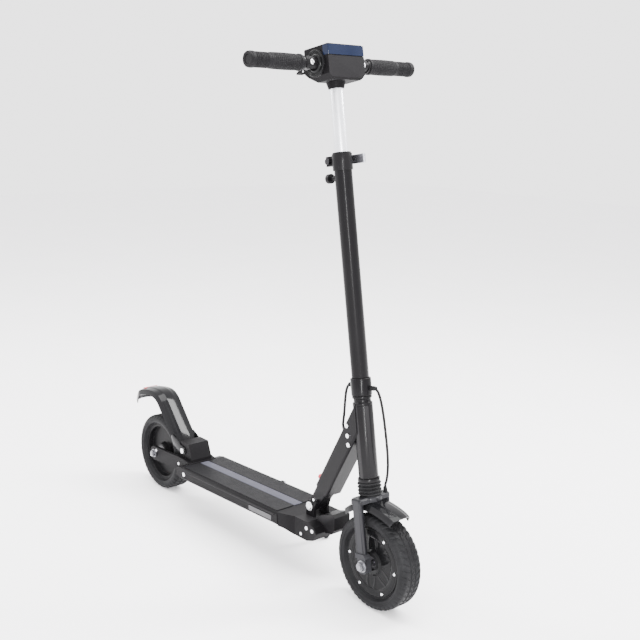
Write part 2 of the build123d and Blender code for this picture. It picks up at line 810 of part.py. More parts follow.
with BuildPart() as kickstand_bracket:
    with BuildSketch(stand_plane(-stand_hub_half - slip)):
        Circle(stand_hub_radius)
        with Locations((-stand_drop * 1.2, 0)):
            Rectangle(stand_drop * 2.4, 2 * stand_hub_radius)
    extrude(amount=-7.0)
    with BuildSketch(deck_top(stand_u, under_w)):
        Rectangle(8 * stand_drop, deck_width)
    extrude(amount=4 * stand_drop, mode=Mode.SUBTRACT)
    with BuildSketch(deck_top(stand_u, under_w)):
        with Locations((0, stand_pivot_side - 20.0)):
            RectangleRounded(34.0, 34.0, 4.0)
    extrude(amount=-3.0)
    # hinge bolt with its head
    with BuildSketch(stand_plane(-stand_hub_half - slip)):
        Circle(stand_bolt_radius)
    extrude(amount=2 * stand_hub_half + 2 * slip)
    with BuildSketch(stand_plane(stand_hub_half + slip)):
        Circle(2 * stand_bolt_radius)
    extrude(amount=3.0)
save(kickstand_bracket.part, "kickstand_bracket")

with BuildPart() as kickstand_leg:
    with BuildSketch(stand_plane(-stand_hub_half)):
        Circle(stand_hub_radius)
        Circle(stand_bolt_radius + running, mode=Mode.SUBTRACT)
    extrude(amount=2 * stand_hub_half)
    with BuildSketch(Plane(origin=stand_pivot + stand_down * (stand_hub_radius - 1.5), z_dir=stand_down)):
        Circle(stand_leg_radius)
    extrude(amount=stand_reach - stand_hub_radius - 3.0)
save(kickstand_leg.part, "kickstand_leg")

with BuildPart() as kickstand_foot:
    Sphere(stand_foot_radius)
    with BuildSketch(Plane(origin=-stand_down * (stand_foot_radius + 10.0), z_dir=stand_down)):
        Circle(stand_leg_radius + 2.0)
    extrude(amount=stand_foot_radius + 10.0)
    with BuildSketch(Plane(origin=-stand_down * (stand_foot_radius + 12.0), z_dir=stand_down)):
        Circle(stand_leg_radius)
    extrude(amount=stand_foot_radius + 9.0, mode=Mode.SUBTRACT)
save(kickstand_foot.part.moved(Location(stand_foot)), "kickstand_foot")

# ================================================================ neck
strut_along = Vector(cos(radians(strut_angle)), 0, sin(radians(strut_angle)))
strut_front = Vector(sin(radians(strut_angle)), 0, -cos(radians(strut_angle)))
strut_rear_face = -12.2
strut_front_face = strut_rear_face + strut_depth
strut_foot = 58.0
strut_reach = (stem_radius + pivot_behind_axle) / cos(radians(strut_angle)) * 0.72
lug_half = ear_inner - slip
head_top = head_tube_start + head_tube_length


def strut_section(t):
    """Square to the neck strut: x towards its front face, y to the left."""
    return Plane(origin=fold_pivot + strut_along * t, x_dir=strut_front, z_dir=strut_along)


def strut_side(y=0.0):
    """Side view of the strut: x along it, y towards its rear face."""
    return Plane(origin=fold_pivot + Vector(0, y, 0), x_dir=strut_along, z_dir=(0, -1, 0))


strut_middle = (strut_rear_face + strut_front_face) / 2
button_at = strut_foot + 13.0
button_height = 9.0
button_half = 17.0
with BuildPart() as neck_strut:
    with BuildSketch(strut_section(strut_foot)):
        with Locations((strut_middle, 0)):
            RectangleRounded(strut_depth, strut_width, 5.0)
    extrude(amount=strut_reach)
    with BuildSketch(strut_section(strut_foot + 8.0)):
        with Locations((strut_middle, 0)):
            RectangleRounded(strut_depth - 2 * strut_wall, strut_width - 2 * strut_wall, 2.0)
    extrude(amount=strut_reach, mode=Mode.SUBTRACT)
    # keep only what lies behind the head tube
    with BuildSketch(steer_plane(0)):
        Circle(head_tube_radius)
        with Locations((5 * wheel_radius, 0)):
            Rectangle(10 * wheel_radius, 4 * wheel_radius)
    extrude(amount=8 * wheel_radius, mode=Mode.SUBTRACT)
    # knuckle lug that turns between the ears
    with BuildSketch(strut_side()):
        with BuildLine():
            Polyline(
                (0, -12.2),
                (12.0, -12.2),
                (strut_foot + 0.5, -strut_front_face + 8.0),
                (strut_foot + 0.5, -strut_rear_face),
                (0, -strut_rear_face),
                close=True,
            )
        make_face()
        Circle(12.2)
        Circle(fold_pin_radius + running, mode=Mode.SUBTRACT)
        with Locations((lock_pin_reach, 0)):
            Circle(lock_pin_radius, mode=Mode.SUBTRACT)
    extrude(amount=lug_half, both=True)
    # window in the rear wall for the release button
    with BuildSketch(strut_section(button_at)):
        with Locations((strut_rear_face + strut_wall / 2, 0)):
            Rectangle(strut_wall + 2.0, 2 * button_half + 2 * slip)
    extrude(amount=button_height + 2 * slip, mode=Mode.SUBTRACT)

with BuildPart() as lock_pin:
    with BuildSketch(strut_side()):
        with Locations((lock_pin_reach, 0)):
            Circle(lock_pin_radius)
    extrude(amount=ear_outer - 0.5, both=True)

with BuildPart() as release_button:
    with BuildSketch(strut_section(button_at + slip)):
        with Locations((strut_rear_face - 1.5, 0)):
            Rectangle(11.0, 2 * button_half)
    extrude(amount=button_height)
    fillet(release_button.edges().filter_by(Axis.Y), 1.5)
save(release_button.part, "release_button")

bearing_depth = 10.0
bearing_seat = 18.0
head_bore = 16.2
with BuildPart() as head_tube:
    with BuildSketch(steer_plane(head_tube_start)):
        Circle(head_tube_radius)
        Circle(head_bore, mode=Mode.SUBTRACT)
    extrude(amount=head_tube_length)
    for s in (head_tube_start, head_top - bearing_depth):
        with BuildSketch(steer_plane(s)):
            Circle(bearing_seat)
        extrude(amount=bearing_depth, mode=Mode.SUBTRACT)
save(neck_strut.part + head_tube.part, "neck_frame")

with BuildPart() as headset_bearings:
    for s in (head_tube_start, head_top - bearing_depth):
        with BuildSketch(steer_plane(s)):
            Circle(bearing_seat)
            Circle(steerer_radius + running, mode=Mode.SUBTRACT)
        extrude(amount=bearing_depth)
save(headset_bearings.part, "headset_bearings")

neck_bolt_back = -27.0
neck_bolt_levels = (head_top - 42.0, head_top - 63.0, head_top - 82.0)
with BuildPart() as neck_bolts:
    for side in (1, -1):
        with BuildSketch(steer_side(side * strut_width / 2)):
            with Locations(*[(neck_bolt_back, s) for s in neck_bolt_levels]):
                Circle(4.6)
                RegularPolygon(2.4, 6, mode=Mode.SUBTRACT)
        extrude(amount=-side * 3.0)
save(neck_bolts.part + lock_pin.part, "neck_bolts")

# ================================================================ stem
boot_top = head_tube_start - 7.0
ring_gap = 0.4
ring_top = head_top + 19.6
sleeve_bottom = ring_top + 0.4
sleeve_top = sleeve_bottom + 36.0
web_at = head_tube_start + 158.0
with BuildPart() as steerer_tube:
    with BuildSketch(steer_plane(boot_top)):
        Circle(steerer_radius)
    extrude(amount=sleeve_top + 24.0 - boot_top)
    with BuildSketch(steer_plane(boot_top)):
        Circle(head_tube_radius + 2.5)
    extrude(amount=7.0 - ring_gap)
    with BuildSketch(steer_plane(boot_top)):
        Circle(steerer_bore)
    extrude(amount=web_at - boot_top, mode=Mode.SUBTRACT)
    with BuildSketch(steer_plane(web_at + 6.0)):
        Circle(steerer_bore)
    extrude(amount=sleeve_top + 24.0 - web_at, mode=Mode.SUBTRACT)
save(steerer_tube.part, "steerer_tube")

with BuildPart() as headset_nut:
    with BuildSketch(steer_side()):
        with BuildLine():
            Polyline(
                (steerer_radius, head_top + ring_gap),
                (head_tube_radius, head_top + ring_gap),
                (head_tube_radius, head_top + 5.0),
                (head_tube_radius - 2.5, head_top + 7.0),
                (head_tube_radius - 2.5, head_top + 13.0),
                (head_tube_radius, head_top + 15.0),
                (head_tube_radius, ring_top),
                (steerer_radius, ring_top),
                close=True,
            )
        make_face()
    revolve(axis=Axis(steer_origin, steer_up))

with BuildPart() as stem_sleeve:
    with BuildSketch(steer_plane(sleeve_bottom)):
        Circle(stem_radius + 3.5)
        Circle(steerer_radius, mode=Mode.SUBTRACT)
    extrude(amount=sleeve_top - sleeve_bottom)
    chamfer(stem_sleeve.edges().filter_by(GeomType.CIRCLE).group_by(SortBy.RADIUS)[-1], 1.2)
    with BuildSketch(steer_plane(sleeve_bottom + 5.0)):
        Circle(stem_radius)
    extrude(amount=sleeve_top - sleeve_bottom, mode=Mode.SUBTRACT)
save(stem_sleeve.part + headset_nut.part, "stem_sleeve")

stem_bore = stem_radius - stem_wall
with BuildPart() as stem_tube:
    with BuildSketch(steer_plane(sleeve_bottom + 5.0)):
        Circle(stem_radius)
        Circle(stem_bore, mode=Mode.SUBTRACT)
    extrude(amount=stem_top - sleeve_bottom - 5.0)

bushing_length = 60.0
with BuildPart() as mast_bushing:
    with BuildSketch(steer_plane(stem_top - bushing_length)):
        Circle(stem_bore)
        Circle(mast_radius + running, mode=Mode.SUBTRACT)
    extrude(amount=bushing_length)
    with BuildSketch(steer_plane(stem_top)):
        Circle(stem_radius + 0.6)
        Circle(mast_radius + running, mode=Mode.SUBTRACT)
    extrude(amount=2.5)

collar_length = 33.0
collar_radius = stem_radius + 2.5
collar_bottom = stem_top - collar_length
clamp_back = -(collar_radius + 8.5)
clamp_slot = 3.0
clamp_ear_half = 11.0
clamp_level = stem_top - 12.5
clamp_bolt_radius = 3.0
with BuildPart() as clamp_collar:
    with BuildSketch(steer_plane(collar_bottom)):
        Circle(collar_radius)
    extrude(amount=collar_length)
    with BuildSketch(steer_plane(clamp_level - 10.0)):
        with Locations(((clamp_back - 8.0) / 2, 0)):
            Rectangle(-(clamp_back - 8.0), 2 * clamp_ear_half)
    extrude(amount=20.0)
    with BuildSketch(steer_plane(collar_bottom)):
        Circle(stem_radius)
        with Locations((clamp_back, 0)):
            Rectangle(-2 * clamp_back, clamp_slot)
    extrude(amount=collar_length, mode=Mode.SUBTRACT)
    with BuildSketch(steer_cross(clamp_level, clamp_back, -clamp_ear_half)):
        Circle(clamp_bolt_radius)
    extrude(amount=2 * clamp_ear_half, mode=Mode.SUBTRACT)
save(clamp_collar.part, "clamp_collar")

cam_side = clamp_ear_half + 8.5
cam_radius = 7.5
cam_pin_radius = 2.0
lever_height = 18.0
with BuildPart() as clamp_bolt:
    with BuildSketch(steer_cross(clamp_level, clamp_back, -clamp_ear_half)):
        Circle(clamp_bolt_radius)
    extrude(amount=2 * clamp_ear_half)
    with BuildSketch(steer_cross(clamp_level, clamp_back, -clamp_ear_half)):
        Circle(6.5)
    extrude(amount=-5.0)
    # eye that holds the lever's cam pin
    with BuildSketch(steer_plane(clamp_level - 2.5, clamp_back, cam_side)):
        Circle(5.0)
        with Locations((0, (clamp_ear_half - cam_side) / 2)):
            Rectangle(5.0, cam_side - clamp_ear_half)
        Circle(cam_pin_radius, mode=Mode.SUBTRACT)
    extrude(amount=5.0)
    with BuildSketch(steer_plane(clamp_level - lever_height / 2, clamp_back, cam_side)):
        Circle(cam_pin_radius)
    extrude(amount=lever_height)
save(clamp_bolt.part, "clamp_bolt")

lever_tip_forward = 33.0
lever_tip_side = 30.0
with BuildPart() as clamp_lever:
    with BuildSketch(steer_plane(clamp_level - lever_height / 2)):
        with BuildLine():
            Polyline(
                (clamp_back + 2.0, cam_side - 3.0),
                (clamp_back + 13.0, cam_side + 2.5),
                (4.0, collar_radius + 2.5),
                (lever_tip_forward, lever_tip_side - 3.0),
                (lever_tip_forward + 2.0, lever_tip_side),
                (lever_tip_forward, lever_tip_side + 3.0),
                (2.0, collar_radius + 8.5),
                (clamp_back + 8.0, cam_side + 7.2),
                (clamp_back, cam_side + cam_radius - 0.2),
                close=True,
            )
        make_face()
        with Locations((clamp_back, cam_side)):
            Circle(cam_radius)
            Circle(cam_pin_radius + running, mode=Mode.SUBTRACT)
    extrude(amount=lever_height)
    # fork round the eye
    with BuildSketch(steer_plane(clamp_level - 2.5 - slip, clamp_back, cam_side)):
        Circle(cam_radius + 2.0)
    extrude(amount=5.0 + 2 * slip, mode=Mode.SUBTRACT)
save(clamp_lever.part, "clamp_lever")

peg_level = stem_top - 46.0
peg_reach = 46.0
peg_head = 9.0


def behind_stem(s, back):
    """Pointing straight back from the steering axis."""
    return Plane(origin=steer_point(s, -back), x_dir=(0, 1, 0), z_dir=-steer_forward)


with BuildPart() as latch_peg:
    with BuildSketch(behind_stem(peg_level, stem_radius - 1.5)):
        Circle(7.5)
    extrude(amount=4.0)
    with BuildSketch(behind_stem(peg_level, stem_radius)):
        Circle(4.0)
    extrude(amount=peg_reach - peg_head - stem_radius + 0.5)
    with BuildSketch(behind_stem(peg_level, peg_reach - peg_head)):
        Circle(10.0)
    extrude(amount=peg_head)
    with BuildSketch(steer_plane(peg_level - 20.0)):
        Circle(stem_radius)
    extrude(amount=40.0, mode=Mode.SUBTRACT)
save(stem_tube.part + mast_bushing.part + latch_peg.part, "stem_tube")

# ================================================================ mast and console
mast_bore = mast_radius - mast_wall
core_radius = 11.0
mast_seat = bar_level - 14.0
socket_wall = 3.5
with BuildPart() as mast_tube:
    with BuildSketch(steer_plane(mast_bottom)):
        Circle(mast_radius)
        Circle(mast_bore, mode=Mode.SUBTRACT)
    extrude(amount=mast_seat - mast_bottom)
save(mast_tube.part, "mast_tube")

# Handlebar core: the cross tube inside the console and the socket for the mast.
with BuildPart() as handlebar_core:
    with BuildSketch(steer_plane(console_bottom + 4.0)):
        Circle(mast_radius + socket_wall)
    extrude(amount=bar_level - console_bottom - 4.0)
    with BuildSketch(steer_cross(bar_level, 0, -console_width / 2)):
        Circle(core_radius)
    extrude(amount=console_width)
    with BuildSketch(steer_plane(console_bottom + 4.0)):
        Circle(mast_radius)
    extrude(amount=mast_seat - console_bottom - 4.0, mode=Mode.SUBTRACT)

console_wall = 2.5
half_depth = console_depth / 2
half_width = console_width / 2
lever_pivot_x = -half_depth - 7.5
lever_pivot_s = bar_level - 7.0
lever_side = half_width - 13.0
lever_half = 7.7
lug_thickness = 3.0
lever_pin_radius = 2.0
power_radius = 5.5
power_level = bar_level + 2.0
rear_chamfer = 26.0
corner_chamfer = 11.0

with BuildPart() as console_base:
    with BuildSketch(steer_side()):
        with BuildLine():
            Polyline(
                (half_depth, console_split),
                (half_depth, console_bottom + 4.0),
                (half_depth - 4.0, console_bottom),
                (-half_depth + rear_chamfer, console_bottom),
                (-half_depth, console_bottom + rear_chamfer * 0.75),
                (-half_depth, console_split),
                close=True,
            )
        make_face()
    extrude(amount=half_width, both=True)
    with BuildSketch(steer_front(-half_depth - 1.0)):
        with BuildLine():
            Polyline(
                (half_width, console_split + 1.0),
                (half_width, console_bottom + corner_chamfer),
                (half_width - corner_chamfer, console_bottom - 1.0),
                (-half_width + corner_chamfer, console_bottom - 1.0),
                (-half_width, console_bottom + corner_chamfer),
                (-half_width, console_split + 1.0),
                close=True,
            )
        make_face()
    extrude(amount=console_depth + 2.0, mode=Mode.INTERSECT)
    # inside
    with BuildSketch(steer_plane(console_bottom + corner_chamfer + console_wall)):
        Rectangle(console_depth - 2 * console_wall, console_width - 2 * console_wall)
    extrude(amount=console_depth, mode=Mode.SUBTRACT)
    # neck flaring down round the mast
    with BuildSketch(steer_side()):
        with BuildLine():
            Polyline(
                (mast_radius + slip, console_bottom - 12.0),
                (mast_radius + 2.2, console_bottom - 12.0),
                (mast_radius + 6.0, console_bottom + 1.0),
                (mast_radius + slip, console_bottom + 1.0),
                close=True,
            )
        make_face()
    revolve(axis=Axis(steer_origin, steer_up))
    with BuildSketch(steer_plane(console_bottom - 13.0)):
        Circle(mast_radius + slip)
    extrude(amount=17.5, mode=Mode.SUBTRACT)
    with BuildSketch(steer_plane(console_bottom + 4.0)):
        Circle(mast_radius + socket_wall)
    extrude(amount=console_depth, mode=Mode.SUBTRACT)
    with BuildSketch(steer_cross(bar_level, 0, -half_width - 1.0)):
        Circle(core_radius)
    extrude(amount=console_width + 2.0, mode=Mode.SUBTRACT)
    # lugs on the rear face for the two thumb levers
    for side in (1, -1):
        for edge in (-1, 1):
            lug_y = side * lever_side + edge * (lever_half + slip + lug_thickness / 2)
            with BuildSketch(steer_side(lug_y)):
                with Locations((lever_pivot_x, lever_pivot_s)):
                    Circle(6.0)
                with Locations((lever_pivot_x + 5.0, lever_pivot_s)):
                    Rectangle(8.0, 12.0)
                with Locations((lever_pivot_x, lever_pivot_s)):
                    Circle(lever_pin_radius, mode=Mode.SUBTRACT)
            extrude(amount=lug_thickness / 2, both=True)
    with BuildSketch(behind_stem(power_level, half_depth - console_wall - 1.0)):
        Circle(power_radius + slip)
    extrude(amount=console_wall + 4.0, mode=Mode.SUBTRACT)
save(console_base.part, "console_base")

lens_bottom = console_split + 1.5
lens_top = console_top - 2.0
lens_depth = 5.0
lens_return = 9.0
lens_return_mid = half_depth - lens_return / 2 - 3.0
window_front = half_depth - 13.0
window_rear = -half_depth + 7.0
window_half = half_width - 9.0
with BuildPart() as console_cover:
    with BuildSketch(steer_plane(console_split)):
        RectangleRounded(console_depth, console_width, 5.0)
    extrude(amount=console_top - console_split)
    fillet(console_cover.faces().sort_by(Axis.Z)[-1].edges(), 3.0)
    with BuildSketch(steer_plane(console_split)):
        Rectangle(console_depth - 2 * console_wall, console_width - 2 * console_wall)
    extrude(amount=console_top - console_split - console_wall, mode=Mode.SUBTRACT)
    with BuildSketch(steer_cross(bar_level, 0, -half_width - 1.0)):
        Circle(core_radius)
    extrude(amount=console_width + 2.0, mode=Mode.SUBTRACT)
    # opening for the lamp lens, running round both front corners
    with BuildSketch(steer_plane(lens_bottom)):
        with Locations((half_depth, 0)):
            Rectangle(2 * lens_depth, console_width + 2.0)
        with Locations((lens_return_mid, half_width), (lens_return_mid, -half_width)):
            Rectangle(lens_return + 6.0, 2 * console_wall)
    extrude(amount=lens_top - lens_bottom, mode=Mode.SUBTRACT)
    # opening for the display
    with BuildSketch(steer_plane(console_top - console_wall - 1.0)):
        with Locations(((window_front + window_rear) / 2, 0)):
            Rectangle(window_front - window_rear, 2 * window_half)
    extrude(amount=console_wall + 2.0, mode=Mode.SUBTRACT)
save(console_cover.part, "console_cover")

with BuildPart() as lamp_lens:
    with BuildSketch(steer_plane(lens_bottom)):
        with Locations((half_depth - lens_depth / 2 + 0.5, 0)):
            RectangleRounded(lens_depth + 1.0, console_width, 2.0)
        for side in (1, -1):
            with Locations((lens_return_mid, side * (half_width - console_wall / 2))):
                Rectangle(lens_return + 6.0, console_wall)
    extrude(amount=lens_top - lens_bottom)
save(lamp_lens.part, "lamp_lens")

with BuildPart() as lamp_board:
    with BuildSketch(steer_front(half_depth - lens_depth - 3.0)):
        with Locations((0, (lens_bottom + lens_top) / 2)):
            Rectangle(console_width - 26.0, 12.0)
    extrude(amount=1.6)
    with BuildSketch(steer_front(half_depth - lens_depth - 1.4)):
        with Locations((0, (lens_bottom + lens_top) / 2)):
            with GridLocations(11.0, 0, 6, 1):
                Rectangle(4.5, 4.5)
    extrude(amount=1.2)

with BuildPart() as display_window:
    with BuildSketch(steer_plane(console_top - console_wall)):
        with Locations(((window_front + window_rear) / 2, 0)):
            Rectangle(window_front - window_rear, 2 * window_half)
    extrude(amount=console_wall)
save(display_window.part, "display_window")

with BuildPart() as display_panel:
    with BuildSketch(steer_plane(console_top - console_wall - 4.0)):
        with Locations(((window_front + window_rear) / 2, 0)):
            Rectangle(window_front - window_rear - 4.0, 2 * window_half - 4.0)
    extrude(amount=4.0)

with BuildPart() as control_board:
    with BuildSketch(steer_plane(console_top - console_wall - 12.0)):
        with Locations(((window_front + window_rear) / 2, 0)):
            Rectangle(window_front - window_rear, 2 * window_half)
    extrude(amount=1.6)
    with BuildSketch(steer_plane(console_top - console_wall - 10.4)):
        with Locations(((window_front + window_rear) / 2, 0)):
            with GridLocations(17.0, 24.0, 2, 3):
                Rectangle(9.0, 12.0)
    extrude(amount=6.4)
save(control_board.part + display_panel.part + lamp_board.part, "console_electronics")

with BuildPart() as power_button:
    with BuildSketch(behind_stem(power_level, half_depth - console_wall - 4.0)):
        Circle(power_radius)
    extrude(amount=console_wall + 6.0)
    fillet(power_button.edges().sort_by(Axis.X)[0], 1.0)
save(power_button.part, "power_button")

with BuildPart() as lever_pins:
    for side in (1, -1):
        with BuildSketch(steer_side(side * lever_side)):
            with Locations((lever_pivot_x, lever_pivot_s)):
                Circle(lever_pin_radius)
        extrude(amount=lever_half + slip + lug_thickness, both=True)


def make_thumb_lever(side, node):
    """Thumb paddle hinged on the console's rear face, reaching back under the grip."""
    with BuildPart() as lever:
        with BuildSketch(steer_side(side * lever_side)):
            with Locations((lever_pivot_x, lever_pivot_s)):
                Circle(5.2)
            with BuildLine():
                Polyline(
                    (lever_pivot_x, lever_pivot_s + 5.0),
                    (lever_pivot_x - 16.0, lever_pivot_s + 5.5),
                    (lever_pivot_x - 25.0, lever_pivot_s + 1.5),
                    (lever_pivot_x - 25.0, lever_pivot_s - 2.0),
                    (lever_pivot_x - 16.0, lever_pivot_s),
                    (lever_pivot_x, lever_pivot_s - 5.0),
                    close=True,
                )
            make_face()
            with Locations((lever_pivot_x, lever_pivot_s)):
                Circle(lever_pin_radius + running, mode=Mode.SUBTRACT)
        extrude(amount=lever_half, both=True)
        fillet(lever.edges().sort_by(Axis.X)[0], 0.8)
    save(lever.part, node)


make_thumb_lever(-1, "throttle_lever")
make_thumb_lever(1, "brake_lever")

# ================================================================ folding handlebars
boss_radius = 27.0
boss_thickness = 3.0
knuckle_radius = 14.0
fork_gap_half = 7.1
tongue_half = fork_gap_half - 0.1
bar_pin_radius = 3.0
boss_face = half_width + boss_thickness
bar_pivot_y = boss_face + grip_radius + 1.5
knuckle_start = bar_pivot_y + knuckle_radius + 1.0
grip_start = knuckle_start + 5.0
grip_end = handlebar_width / 2 - 6.0


def make_handlebar(side, name):
    """One folding handlebar: saves the bar and its grip, returns its bracket and its pin."""
    pivot = steer_point(bar_level, 0, side * bar_pivot_y)
    across = Plane(origin=pivot, x_dir=(0, side, 0), z_dir=steer_forward * side)

    def outward(y):
        return Plane(origin=steer_point(bar_level, 0, side * y), x_dir=steer_forward, z_dir=(0, side, 0))

    with BuildPart() as bracket:
        with BuildSketch(outward(boss_face)):
            Circle(knuckle_radius)
        extrude(amount=bar_pivot_y - boss_face + knuckle_radius)
        with BuildSketch(across.offset(-knuckle_radius - 1.0)):
            Circle(knuckle_radius)
            with Locations((-(bar_pivot_y - half_width) / 2, 0)):
                Rectangle(bar_pivot_y - half_width, 2 * knuckle_radius)
        extrude(amount=2 * knuckle_radius + 2.0, mode=Mode.INTERSECT)
        with BuildSketch(outward(half_width)):
            Circle(boss_radius)
        extrude(amount=boss_thickness)
        with BuildSketch(across):
            with Locations(((boss_face + 1.0 - bar_pivot_y + 20.0) / 2, 0)):
                Rectangle(20.0 - (boss_face + 1.0 - bar_pivot_y), 2 * knuckle_radius + 2.0)
        extrude(amount=fork_gap_half, both=True, mode=Mode.SUBTRACT)
        with BuildSketch(across):
            Circle(bar_pin_radius)
        extrude(amount=knuckle_radius, both=True, mode=Mode.SUBTRACT)

    with BuildPart() as pin:
        with BuildSketch(across):
            Circle(bar_pin_radius)
        extrude(amount=knuckle_radius - 0.8, both=True)

    with BuildPart() as bar:
        with BuildSketch(across):
            Circle(knuckle_radius - 1.0)
            with Locations(((knuckle_start - bar_pivot_y + 1.0) / 2, 0)):
                Rectangle(knuckle_start - bar_pivot_y + 1.0, 2 * bar_radius)
        extrude(amount=tongue_half, both=True)
        with BuildSketch(across):
            Circle(bar_pin_radius + running)
        extrude(amount=tongue_half + 1.0, both=True, mode=Mode.SUBTRACT)
        with BuildSketch(outward(knuckle_start)):
            Circle(knuckle_radius)
        extrude(amount=grip_start - knuckle_start)
        with BuildSketch(outward(grip_start)):
            Circle(bar_radius)
        extrude(amount=grip_end - grip_start)
        with BuildSketch(outward(grip_start + 6.0)):
            Circle(bar_radius - bar_wall)
        extrude(amount=grip_end - grip_start, mode=Mode.SUBTRACT)
    save(bar.part, f"handlebar_{name}")

    with BuildPart() as grip:
        with BuildSketch(outward(grip_start)):
            Circle(grip_radius)
        extrude(amount=(grip_end - grip_start) * 0.64)
        with BuildSketch(outward(grip_start)):
            Circle(grip_radius - 1.0)
        extrude(amount=grip_end - grip_start)
        with BuildSketch(outward(grip_start)):
            Circle(bar_radius)
        extrude(amount=grip_end - grip_start, mode=Mode.SUBTRACT)

    with BuildPart() as end_cap:
        with BuildSketch(outward(grip_end)):
            Circle(grip_radius - 0.6)
        extrude(amount=6.0)
        fillet(end_cap.edges().filter_by(GeomType.CIRCLE).sort_by(Axis.Y)[-1 if side > 0 else 0], 2.5)
        with BuildSketch(outward(grip_end - 12.0)):
            Circle(bar_radius - bar_wall)
        extrude(amount=12.0)
    save(grip.part + end_cap.part, f"grip_{name}")
    return bracket.part, pin.part


left_bracket, left_pin = make_handlebar(1, "left")
right_bracket, right_pin = make_handlebar(-1, "right")
save(handlebar_core.part + left_bracket + right_bracket, "handlebar_core")
save(lever_pins.part + left_pin + right_pin, "hinge_pins")

# ================================================================ fork
crown_bottom = wheel_radius + 26.0
crown_top = crown_bottom + 11.0
leg_width = 27.0
leg_thickness = 13.0
leg_centre = pod_inner + leg_thickness / 2
leg_bottom = 24.0
with BuildPart() as fork_crown:
    with BuildSketch(steer_plane(crown_bottom)):
        RectangleRounded(34.0, 2 * (pod_inner + leg_thickness), 9.0)
        Circle(24.0)
    extrude(amount=crown_top - crown_bottom)
    chamfer(fork_crown.faces().sort_by(Axis.Z)[-1].edges(), 3.0)

with BuildPart() as suspension_rod:
    with BuildSketch(steer_plane(crown_top)):
        Circle(steerer_bore - running)
    extrude(amount=head_tube_start + 78.0 - crown_top)

with BuildPart() as fork_legs:
    for side in (1, -1):
        with BuildSketch(steer_plane(leg_bottom, 0, side * leg_centre)):
            with Locations((1.0, 0)):
                SlotOverall(leg_width, leg_thickness)
        extrude(amount=crown_bottom - leg_bottom)

pod_width = 25.0
pod_drop = 17.0
with BuildPart() as axle_pods:
    for side in (1, -1):
        with BuildSketch(steer_side(side * pod_inner)):
            with Locations((fork_offset - 2.0, (leg_bottom - pod_drop) / 2)):
                RectangleRounded(pod_width, leg_bottom + pod_drop, 9.0)
            with Locations((1.5, leg_bottom - 5.0)):
                Rectangle(leg_width - 4.0, 10.0)
            with Locations((fork_offset, 0)):
                Circle(front_axle_radius, mode=Mode.SUBTRACT)
        extrude(amount=-side * (pod_outer - pod_inner))
save(fork_crown.part + suspension_rod.part + fork_legs.part + axle_pods.part, "fork")

boot_ribs = 4
boot_bottom = crown_top
boot_rib = (boot_top - boot_bottom) / boot_ribs
boot_outer = 25.0
boot_valley = 21.0
with BuildPart() as fork_boot:
    with BuildSketch(steer_side()):
        with BuildLine():
            points = [(steerer_bore + 1.5, boot_bottom), (boot_valley, boot_bottom)]
            for rib in range(boot_ribs):
                level = boot_bottom + boot_rib * rib
                points.append((boot_outer, level + boot_rib * 0.3))
                points.append((boot_outer, level + boot_rib * 0.6))
                points.append((boot_valley, level + boot_rib))
            points.append((steerer_bore + 1.5, boot_top))
            Polyline(*points, close=True)
        make_face()
    revolve(axis=Axis(steer_origin, steer_up))
save(fork_boot.part, "fork_boot")

# Front fender: hugs the tyre behind the crown, then runs forward to a beak.
front_fender_radius = wheel_radius + 22.5
front_sheet = 2.5
front_fender_half = pod_inner - 1.5
beak_length = 52.0
beak_bend = 260.0
with BuildPart() as front_fender:
    with BuildSketch(side_plane()):
        with BuildLine():
            rear_arc = CenterArc(front_xz(0, 0), front_fender_radius, 132.0, -44.0)
            beak = JernArc(rear_arc @ 1, rear_arc % 1, beak_bend, -beak_length / beak_bend * 180.0 / pi)
            JernArc(beak @ 1, beak % 1, 40.0, -14.0)
            offset(amount=front_sheet, side=Side.RIGHT, closed=True)
        make_face()
    extrude(amount=front_fender_half, both=True)
    # pad that bolts up against the fork's crown
    with BuildSketch(steer_plane(crown_bottom)):
        with Locations((5.0, 0)):
            Rectangle(24.0, 40.0)
    extrude(amount=-5.0)
save(front_fender.part, "front_fender")

# ================================================================ held cables
cable_radius = 2.8


def make_cable(route, node):
    """Round cable along straight runs joined by tangent arcs."""
    runs = [(b - a).length for a, b in zip(route, route[1:])]
    turns = [(b - a).get_angle(c - b) for a, b, c in zip(route, route[1:], route[2:])]
    radii = [0.45 * min(runs[i], runs[i + 1]) / tan(radians(turns[i] / 2)) for i in range(len(turns))]
    with BuildPart() as cable:
        with BuildLine():
            FilletPolyline(*route, radius=radii)
        with BuildSketch(Plane(origin=route[0], z_dir=route[1] - route[0])):
            Circle(cable_radius)
        sweep()
    save(cable.part, node)


gland_radius = 5.0
front_gland_side = 8.0
front_gland_level = sleeve_bottom + 14.0
rear_gland_level = sleeve_bottom + 20.0
gland_reach = stem_radius + 3.5 + 5.0
with BuildPart() as cable_glands:
    with BuildSketch(steer_front(stem_radius, front_gland_side)):
        with Locations((0, front_gland_level)):
            Circle(gland_radius)
    extrude(amount=gland_reach - stem_radius)
    with BuildSketch(behind_stem(rear_gland_level, stem_radius)):
        Circle(gland_radius)
    extrude(amount=gland_reach - stem_radius)
    with BuildSketch(steer_plane(sleeve_bottom)):
        Circle(stem_radius + 3.5)
    extrude(amount=sleeve_top - sleeve_bottom, mode=Mode.SUBTRACT)
save(cable_glands.part, "cable_glands")

